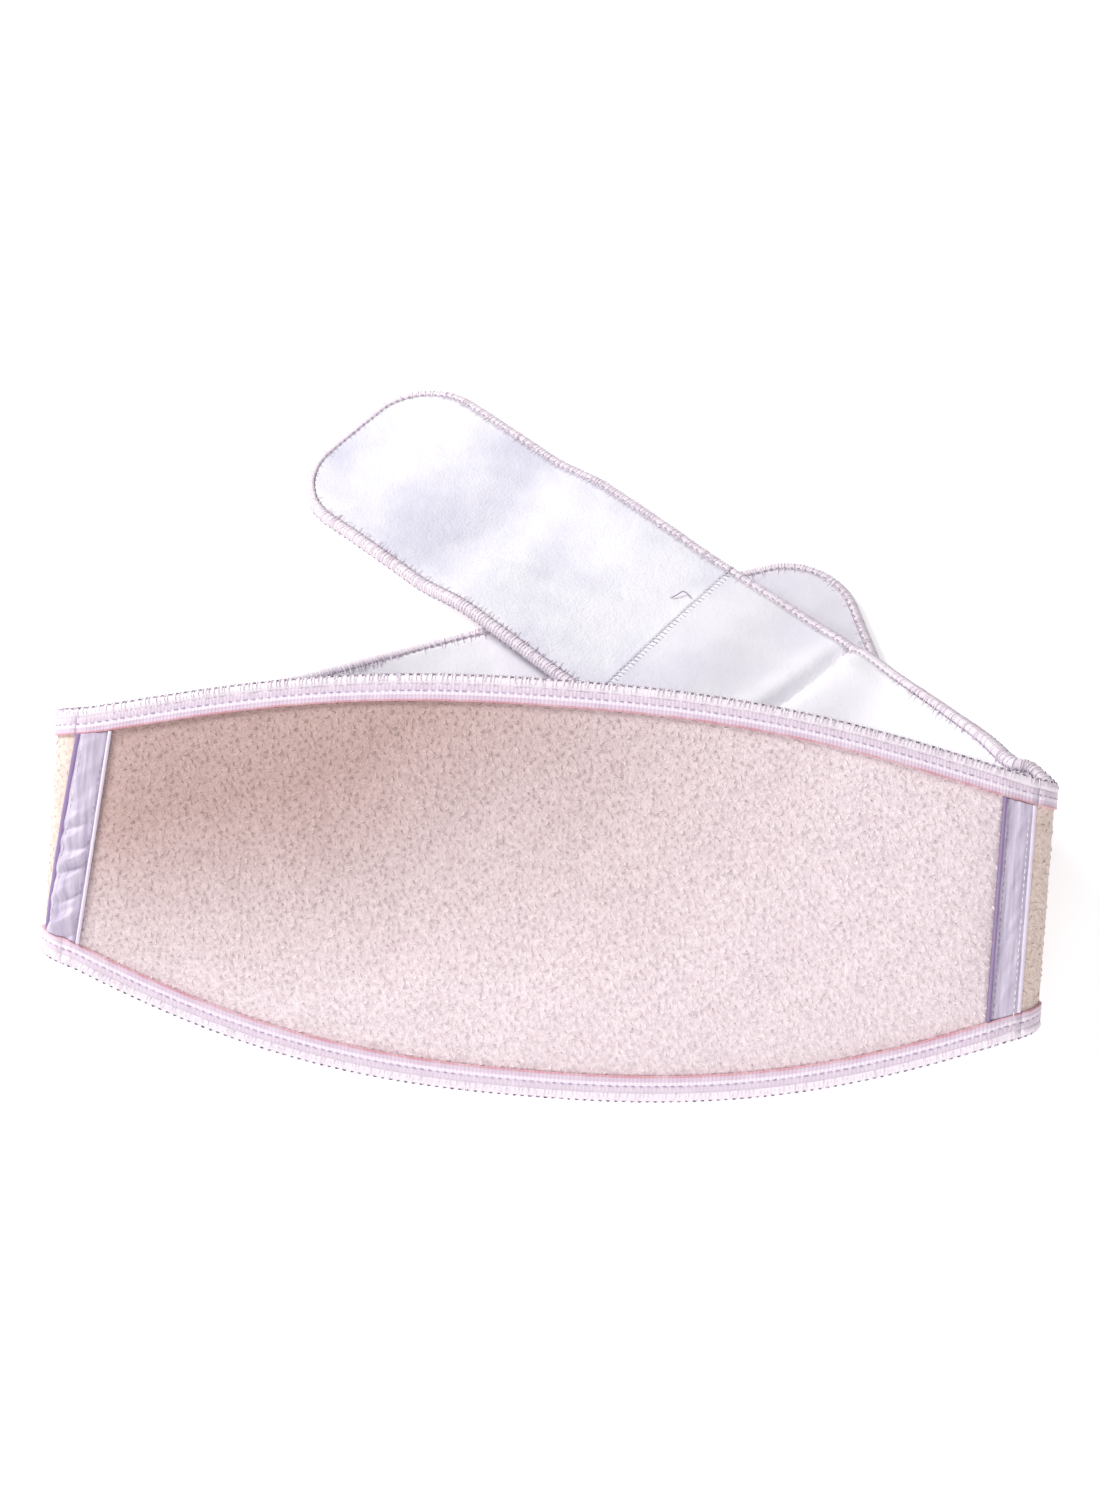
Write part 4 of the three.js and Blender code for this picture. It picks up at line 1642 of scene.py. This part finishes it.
@dataclass
class FrontPanel:
    """The padded front: towelling, interlining and lining inside a bound edge."""

    room: Workroom
    reach: float = RIBBON_START - 0.2
    crown: float = 1.5
    back_crown: float = 0.8
    seam_height: float = 2.15
    edge_softness: float = 6.5
    end_softness: float = 5
    terry_thickness: float = 1.2
    lining_thickness: float = 0.8
    foam_gaps: tuple[float, float] = (1.4, 1.0)
    loop_margin: float = 0.4
    loop_sink: float = 0.3
    loop_spacing: float = 1.5
    step: float = 1.3

    def puff(self, along: Array, across: Array) -> Array:
        """How full the padding is, from 0 at the seams to 1 in the middle."""
        inside = CLOTH_INSET + TAPE_WIDTH
        from_edge = np.minimum(across, self.room.band.width_at(along) - across) - inside
        from_end = self.reach - np.abs(along)
        full = 1 - np.exp(-np.clip(from_edge, 0, None) / self.edge_softness)
        return full * (1 - np.exp(-np.clip(from_end, 0, None) / self.end_softness))

    def unevenness(self, along: Array, across: Array) -> Array:
        """Soft hills in the padding."""
        broad = np.sin(along / 21 + across / 31) * np.cos(across / 19 - along / 47)
        return 0.3 * broad + 0.1 * np.sin(along / 5.3 + 2 * np.sin(across / 8.1))

    def face(self, along: Array, across: Array) -> Array:
        """How far out the towelling's face is."""
        full = self.puff(along, across)
        return self.seam_height + full * (self.crown + self.unevenness(along, across))

    def build(self) -> None:
        """Builds the front's layers and the finish of its two edges."""
        room, band, finishes = self.room, self.room.band, self.room.finishes
        along, across = cloth_grid(band, -self.reach, self.reach, self.step, CLOTH_INSET)
        face = self.face(along, across)
        along = slanted(band, along, across)
        terry = closed_cloth("front_terry_cloth", band, along, across, face, face - self.terry_thickness)
        back = LAYERS.panel["lining"][0] - self.back_crown * self.puff(along, across)
        lining = closed_cloth("front_lining_cloth", band, along, across, back + self.lining_thickness, back)
        foam_top = np.minimum(face - self.foam_gaps[0], LAYERS.panel["foam"][1] + self.crown)
        foam = closed_cloth("front_padding", band, along, across, foam_top, back + self.foam_gaps[1])
        reach, inset = self.reach - self.loop_margin, CLOTH_INSET + TAPE_WIDTH
        in_along, in_across = cloth_grid(band, -reach, reach, self.step, inset)
        in_face = self.face(in_along, in_across) - self.loop_sink
        in_along = slanted(band, in_along, in_across)
        pile = room.needle.raise_pile(
            "front_terry_loops",
            StitchKind.LOOP,
            in_along,
            in_across,
            in_face,
            self.loop_spacing,
            finishes.panel_pile,
        )
        follow = room.front
        room.finish_piece(terry, finishes.panel_ground, follow, "panel_terry", ["front_terry"])
        room.finish_piece(pile, None, follow, "panel_terry")
        room.finish_piece(lining, finishes.lining, follow, "lining", ["front_lining"])
        room.finish_piece(foam, finishes.foam, follow, "foam", ["front_foam_interlining"])
        edges = [*self.edge("bottom", False), *self.edge("top", True)]

    def edge(self, place: str, top: bool) -> list[bpy.types.Object]:
        """The finish of one of the front's edges, as far as the ribbons."""
        ends = (RIBBON_END, -RIBBON_END) if top else (-RIBBON_END, RIBBON_END)
        run = Outline.straight(self.room.band, *ends, top, 1.4)
        tape, thread_node = f"front_{place}_tape", f"front_{place}_overlock"
        return EdgeFinish(
            self.room, run, self.room.front, f"front_{place}_edge", (tape,), (thread_node,)
        ).build()


@dataclass
class EndSeam:
    """The seam between the front and a wing, under its satin ribbon."""

    room: Workroom
    side: Side
    inset: float = CLOTH_INSET + TAPE_WIDTH + 0.1
    piping_width: float = 0.9
    ribbon: tuple[float, float] = (109.0, 115.2)
    ribbon_face: float = 1.75
    ribbon_arch: float = 0.75
    ribbon_thickness: float = 0.35
    piping_face: float = 2.75
    back_faces: tuple[float, float] = (1.2, -0.9)
    places: int = 60

    @property
    def name(self) -> str:
        """The side as it begins the pieces' names."""
        return self.side.name.lower()

    def strip(self, start: float, end: float, inset: float, step: float) -> tuple[Array, Array]:
        """A grid over a strip that crosses the band."""
        sign = self.side.value
        low, high = sorted((sign * start, sign * end))
        band = self.room.band
        line = np.linspace(low, high, max(3, math.ceil((high - low) / step) + 1))
        rows = math.ceil((band.width - 2 * inset) / step) + 1
        share = np.linspace(0, 1, rows)[None, :]
        top = (band.width_at(line) - inset)[:, None]
        return np.repeat(line[:, None], rows, 1), inset + (top - inset) * share

    def puckers(self, along: Array, across: Array) -> Array:
        """Slanting puckers where the ribbon is drawn in, deeper low down on the left."""
        travel = np.abs(along) - RIBBON_START
        slant = across - self.side.value * travel * 1.3
        depth, low = 0.14, 0.7
        if self.side is Side.LEFT:
            depth, low = 0.75, 1 - 0.8 * smoothstep(across, 24, 46)
        fold = np.sin(slant / 1.15 + 1.6 * np.sin(across / 4.7)) + 0.35 * np.sin(slant / 0.61 + 1)
        return depth * low * fold

    def build(self) -> None:
        """Builds the ribbon, its piping, the seam's back and their stitches."""
        room, band, finishes = self.room, self.room.band, self.room.finishes
        start, end = self.ribbon
        along, across = self.strip(start, end, self.inset, 0.35)
        middle = (np.abs(along) - start) / (end - start)
        arch = np.sin(math.pi * np.clip(middle, 0, 1)) ** 0.6
        face = self.ribbon_face + arch * (self.ribbon_arch + self.puckers(along, across))
        skewed = slanted(band, along, across)
        ribbon = closed_cloth(
            f"{self.name}_satin_ribbon", band, skewed, across, face, face - self.ribbon_thickness
        )
        follow = room.folds[self.side]
        room.finish_piece(ribbon, finishes.satin, follow, "satin_ribbon", [f"{self.name}_seam_ribbon"])
        places = (start - 0.4, end + 0.2)[:: -self.side.value]
        heights = (self.piping_face, self.ribbon_face)[:: -self.side.value]
        self.cord_beside("piping", places[0], heights[0], finishes.piping, [f"{self.name}_seam_piping"])
        # The purple cord is painted shadow for the groove at the ribbon's other edge.
        self.cord_beside("ribbon_groove", places[1], heights[1], finishes.groove, [])
        along, across = self.strip(RIBBON_START - 1.1, RIBBON_END, CLOTH_INSET, 1.2)
        top, bottom = (np.full_like(along, face) for face in self.back_faces)
        allowance = closed_cloth(f"{self.name}_seam_back", band, along, across, top, bottom)
        room.finish_piece(
            allowance, finishes.lining, room.front, "lining", [f"{self.name}_seam_allowance"]
        )
        lilac, white = finishes.lilac_stitch, finishes.white_stitch
        self.sew_across("ribbon_stitches_inner", start + 0.7, 2.15, StitchKind.DASH, 1.7, lilac)
        self.sew_across("ribbon_stitches_outer", end - 0.8, 2.1, StitchKind.DASH, 1.7, white)
        middle = (RIBBON_START + RIBBON_END) / 2
        self.sew_across("seam_back_stitches", middle, -1.0, StitchKind.BAR, 1.6, white, (1, 2.4, -1))

    def cord_beside(
        self, name: str, at: float, out: float, finish: bpy.types.Material, nodes: list[str]
    ) -> None:
        """A fine corded fold across the band, beside the ribbon; on one side it is the white piping, on the
        other a purple cord of painted shadow in the groove.
        """
        band = self.room.band
        line = np.linspace(self.inset, band.width - self.inset, 90)
        angles = np.linspace(0, 2 * math.pi, 10, endpoint=False)
        half = self.piping_width / 2
        ring = self.side.value * (at + half * np.cos(angles))
        along = np.tile(ring, (len(line), 1))
        share = np.linspace(0, 1, len(line))[:, None]
        across = self.inset + (band.width_at(along) - 2 * self.inset) * share
        rise = out + half * np.sin(angles)[None, :] + 0.04 * np.sin(line / 1.7)[:, None]
        points = band.lay(slanted(band, along, across), across, rise)
        cord = outward(new_piece(f"{self.name}_{name}", points, tube_faces(len(line), len(angles))))
        self.room.finish_piece(cord, finish, self.room.folds[self.side], "piping", nodes)

    def sew_across(
        self,
        name: str,
        at: float,
        out: float,
        kind: StitchKind,
        pitch: float,
        finish: bpy.types.Material,
        size: tuple[float, float, float] = (1, 0.8, 1),
    ) -> None:
        """Sews one line of stitches across the band, at a distance along it."""
        room = self.room
        line = np.linspace(self.inset, room.band.width - self.inset, self.places)
        along = slanted(room.band, np.full_like(line, self.side.value * at), line)
        run = Outline(along, line, np.zeros((self.places, 2)))
        row = room.needle.sew(f"{self.name}_{name}", kind, run, 0, out, pitch, finish, size)
        room.finish_piece(row, None, room.folds[self.side], "sewing_thread")


@dataclass
class WingCloth:
    """Towelling and brushed lining over one stretch of a wing."""

    room: Workroom
    name: str
    side: Side
    start: float
    end: float
    rounded: bool
    follow: Follow
    lining_finish: bpy.types.Material
    lining_slot: str
    terry_nodes: tuple[str, ...]
    lining_nodes: tuple[str, ...]
    rests_on: tuple[str, ...]
    loop_sink: float = 0.36
    loop_margin: float = 0.6
    loop_spacing: float = 1.9
    step: float = 1.2

    def grid(self, inset: float, trim: float = 0) -> tuple[Array, Array]:
        """A grid over the stretch, in from its edges and, by trim, from its ends."""
        sign = self.side.value
        first, last = sign * (self.start + trim), sign * (self.end - (0 if self.rounded else trim))
        low, high = sorted((first, last))
        return cloth_grid(self.room.band, low, high, self.step, inset, self.rounded)

    def build(self) -> None:
        """Builds the towelling, its loops and the lining."""
        room, band, finishes = self.room, self.room.band, self.room.finishes
        along, across = self.grid(CLOTH_INSET)
        flat = np.zeros_like(along)
        back, face = LAYERS.wing["terry"]
        terry = closed_cloth(f"{self.name}_terry_cloth", band, along, across, flat + face, flat + back)
        low, high = LAYERS.wing["lining"]
        soft = 0.08 * np.sin(along / 3.1 + across / 2.3) * np.sin(across / 4.1 - along / 5.7)
        lining = closed_cloth(f"{self.name}_lining_cloth", band, along, across, flat + high, low - soft)
        spots = self.grid(CLOTH_INSET + TAPE_WIDTH, self.loop_margin)
        pile = room.needle.raise_pile(
            f"{self.name}_terry_loops",
            StitchKind.LOOP,
            *spots,
            face - self.loop_sink,
            self.loop_spacing,
            finishes.wing_pile,
        )
        room.finish_piece(terry, finishes.wing_ground, self.follow, "wing_terry", self.terry_nodes)
        room.finish_piece(pile, None, self.follow, "wing_terry")
        room.finish_piece(lining, self.lining_finish, self.follow, self.lining_slot, self.lining_nodes)
        terry.name


@dataclass
class LeftWing:
    """The lower wing, in one length from its ribbon, with the hook patch under its end."""

    room: Workroom
    patch_length: float = 26
    patch_width: float = 36
    from_tip: float = 12
    patch_faces: tuple[float, float] = (2.1, 1.4)
    stitch: float = 1.4
    places: int = 24

    def build(self) -> None:
        """Builds the wing's cloth, its edge and its hook patch."""
        room, band = self.room, self.room.band
        follow = room.folds[Side.LEFT]
        tip = band.tip_along(Side.LEFT)
        WingCloth(
            room,
            "left_wing",
            Side.LEFT,
            start=RIBBON_END - GAP,
            end=tip,
            rounded=True,
            follow=follow,
            lining_finish=room.finishes.lining,
            lining_slot="lining",
            terry_nodes=("left_fold_terry", "left_wing_terry"),
            lining_nodes=("left_fold_lining", "left_wing_lining"),
            rests_on=(),
        ).build()
        run = Outline.round_end(band, Side.LEFT, RIBBON_END, 1.6)
        EdgeFinish(
            room, run, follow, "left_wing_edge", ("left_wing_tape",), ("left_wing_overlock",)
        ).build()
        self.hooks(tip, follow)

    def hooks(self, tip: float, follow: Follow) -> None:
        """Builds the hook patch, its hooks and the stitching round it."""
        room, band, finishes = self.room, self.room.band, self.room.finishes
        near, far = tip - self.from_tip - self.patch_length, tip - self.from_tip
        low, high = (band.width - self.patch_width) / 2, (band.width + self.patch_width) / 2
        line = -np.linspace(far, near, self.places)
        share = np.linspace(low, high, 30)
        along, across = np.meshgrid(line, share, indexing="ij")
        top, bottom = (np.full_like(along, face) for face in self.patch_faces)
        base = closed_cloth("hook_patch_base", band, along, across, top, bottom)
        room.finish_piece(base, finishes.hook_base, follow, "hook_tape", ["hook_patch"])
        inner = slice(2, -2)
        pile = room.needle.raise_pile(
            "hook_patch_hooks",
            StitchKind.HOOK,
            along[inner, inner],
            across[inner, inner],
            out=2.0,
            spacing=1.05,
            finish=finishes.white_stitch,
        )
        room.finish_piece(pile, None, follow, "hook_tape")
        edge = self.stitch / 2
        begin, stop = -near - edge, -far + edge
        low, high = low + edge, high - edge
        corners = np.array([(begin, low), (begin, high), (stop, high), (stop, low), (begin, low)])
        steps = [
            np.linspace(a, b, self.places)[:-1] for a, b in zip(corners[:-1], corners[1:], strict=True)
        ]
        path = np.vstack([*steps, corners[-1:]])
        run = Outline(path[:, 0], path[:, 1], np.zeros_like(path))
        ring = room.needle.sew(
            "hook_patch_thread",
            StitchKind.DASH,
            run,
            inset=0,
            out=2.12,
            pitch=2.2,
            finish=finishes.white_stitch,
            size=(1.1, 1, 1),
        )
        room.finish_piece(ring, None, follow, "sewing_thread", ["hook_patch_stitching"])


@dataclass
class RightWing:
    """The upper wing, from its ribbon to the cross seam, and its end beyond."""

    room: Workroom

    def build(self) -> None:
        """Builds the wing, the cross seam and the end with the loop panel."""
        room, band, finishes = self.room, self.room.band, self.room.finishes
        seam, tip = band.seam_along(Side.RIGHT), band.tip_along(Side.RIGHT)
        fold = room.folds[Side.RIGHT]
        WingCloth(
            room,
            "right_wing",
            Side.RIGHT,
            start=RIBBON_END - GAP,
            end=seam,
            rounded=False,
            follow=fold,
            lining_finish=finishes.lining,
            lining_slot="lining",
            terry_nodes=("right_fold_terry", "right_wing_terry"),
            lining_nodes=("right_fold_lining", "right_wing_lining"),
            rests_on=("left_wing_lining_cloth",),
        ).build()
        WingCloth(
            room,
            "right_tip",
            Side.RIGHT,
            start=seam,
            end=tip,
            rounded=True,
            follow=room.curl,
            lining_finish=finishes.loop_panel,
            lining_slot="brushed_loop",
            terry_nodes=("right_tip_terry",),
            lining_nodes=("right_tip_loop_panel",),
            rests_on=("left_wing_lining_cloth",),
        ).build()
        for place, top in (("bottom", False), ("top", True)):
            ends = (seam, RIBBON_END) if top else (RIBBON_END, seam)
            run = Outline.straight(band, *ends, top, 1.6)
            name = f"right_wing_{place}"
            EdgeFinish(room, run, fold, f"{name}_edge", (f"{name}_tape",), (f"{name}_overlock",)).build()
        run = Outline.round_end(band, Side.RIGHT, seam, 1.6)
        EdgeFinish(
            room, run, room.curl, "right_tip_edge", ("right_tip_tape",), ("right_tip_overlock",)
        ).build()
        self.cross_seam(seam, fold)

    def cross_seam(self, seam: float, fold: Follow) -> None:
        """Sews the cross seam, with one loose end of thread beyond it."""
        room, band, finishes = self.room, self.room.band, self.room.finishes
        line = np.linspace(CLOTH_INSET, band.width - CLOTH_INSET, 50)
        run = Outline(np.full_like(line, seam - 0.4), line, np.zeros((50, 2)))
        out = LAYERS.wing["lining"][0]
        row = room.needle.sew(
            "right_cross_seam_thread",
            StitchKind.BAR,
            run,
            inset=0,
            out=out - 0.1,
            pitch=1.3,
            finish=finishes.white_stitch,
            size=(1, 1, -1),
        )
        room.finish_piece(row, None, fold, "sewing_thread", ["right_cross_seam_stitching"])
        share = np.linspace(0, 1, 12)
        along = seam + 1.5 + 5.5 * share + 0.8 * np.sin(share * 5)
        across = 43.5 - 2.5 * share + 1.2 * np.sin(share * 4)
        points = band.lay(along, across, out - 0.25 - 0.8 * np.sin(share * math.pi)) / MM
        loose = thread("right_tip_loose_thread", points, 0.16, 6)
        room.finish_piece(loose, finishes.lilac_stitch, room.curl, "sewing_thread")


# ---- Studio ----


@dataclass
class Studio:
    """Pale floor, soft light and the camera. Not part of the headband."""

    elevation: float = 55.8
    azimuth: float = 5.1
    distance: float = 660
    aim: tuple[float, float, float] = (-1.7, -39.0, 46.2)
    lens: float = 64.66
    floor_half: float = 2.5
    floor_drop: float = 0.0002

    def camera(self) -> None:
        """Places the camera, looking down on the front from a little to its right."""
        rise, turn = math.radians(self.elevation), math.radians(self.azimuth)
        back = Vector((math.sin(turn) * math.cos(rise), -math.cos(turn) * math.cos(rise), math.sin(rise)))
        camera = bpy.data.objects.new("camera", bpy.data.cameras.new("camera"))
        camera.data.lens = self.lens
        camera.data.clip_start, camera.data.clip_end = 0.05, 20
        camera.location = (Vector(self.aim) + back * self.distance) * MM
        camera.rotation_euler = (-back).to_track_quat("-Z", "Y").to_euler()
        bpy.context.scene.collection.objects.link(camera)
        bpy.context.scene.camera = camera

    def light(self, name: str, place: Vector, size: float, power: float, colour: Colour) -> None:
        """Adds a soft square light that faces the headband."""
        data = bpy.data.lights.new(name, "AREA")
        data.shape, data.size, data.energy, data.color = "SQUARE", size, power, colour
        lamp = bpy.data.objects.new(name, data)
        lamp.location = place
        lamp.rotation_euler = (-place).to_track_quat("-Z", "Y").to_euler()
        bpy.context.scene.collection.objects.link(lamp)

    def build(self) -> None:
        """Builds the floor, the lights and the surroundings."""
        self.light("key", Vector((-0.72, 0.3, 0.72)), 0.4, 11, (1.0, 0.99, 0.99))
        self.light("fill", Vector((0.1, -0.85, 0.6)), 0.9, 6.6, (1.0, 0.985, 0.99))
        world = bpy.data.worlds.new("surroundings")
        bpy.context.scene.world = world
        world.use_nodes = True
        sky = world.node_tree.nodes["Background"]
        sky.inputs["Color"].default_value = (0.97, 0.965, 1.0, 1)
        sky.inputs["Strength"].default_value = 0.3
        half, level = self.floor_half, -self.floor_drop
        corners = [(-half, -half, level), (half, -half, level), (half, half, level), (-half, half, level)]
        floor = new_piece("floor", np.array(corners), [(0, 1, 2, 3)])
        paper = Shading("floor_paper", Roughness=0.9, Emission_Color=(1, 1, 1, 1), Emission_Strength=0.4)
        grain = paper.noise(3, paper.place(), 2)
        paper.colour(paper.ramp(grain, [(0.3, (0.93, 0.93, 0.94)), (0.7, (0.95, 0.95, 0.96))]))
        floor.data.materials.append(paper.material)
        floor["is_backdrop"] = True
        bpy.context.scene.view_settings.view_transform = "Standard"


def box_of(corners: tuple[Vector, Vector]) -> list[list[float]]:
    """A box's two corners as plain numbers."""
    return [list(corner) for corner in corners]


def main() -> dict[str, list]:
    """Builds the headband and its studio.

    Returns:
        The CAD model's box, to be written beside the visual model's.
    """
    logging.basicConfig(level=logging.INFO, format="%(name)s %(message)s")
    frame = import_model()
    cad_box = box_of(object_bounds())
    studio = Studio()
    studio.camera()
    band = Band()
    band.place_in_frame(frame["joints"])
    room = Workroom(band, Finishes(), Needle(band))
    LeftWing(room).build()
    RightWing(room).build()
    FrontPanel(room).build()
    for side in Side:
        EndSeam(room, side).build()
    room.needle.put_away()
    studio.build()
    return {"cad": cad_box}


if __name__ == "__main__":
    sizes = main()
    sizes["visual"] = box_of(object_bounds())
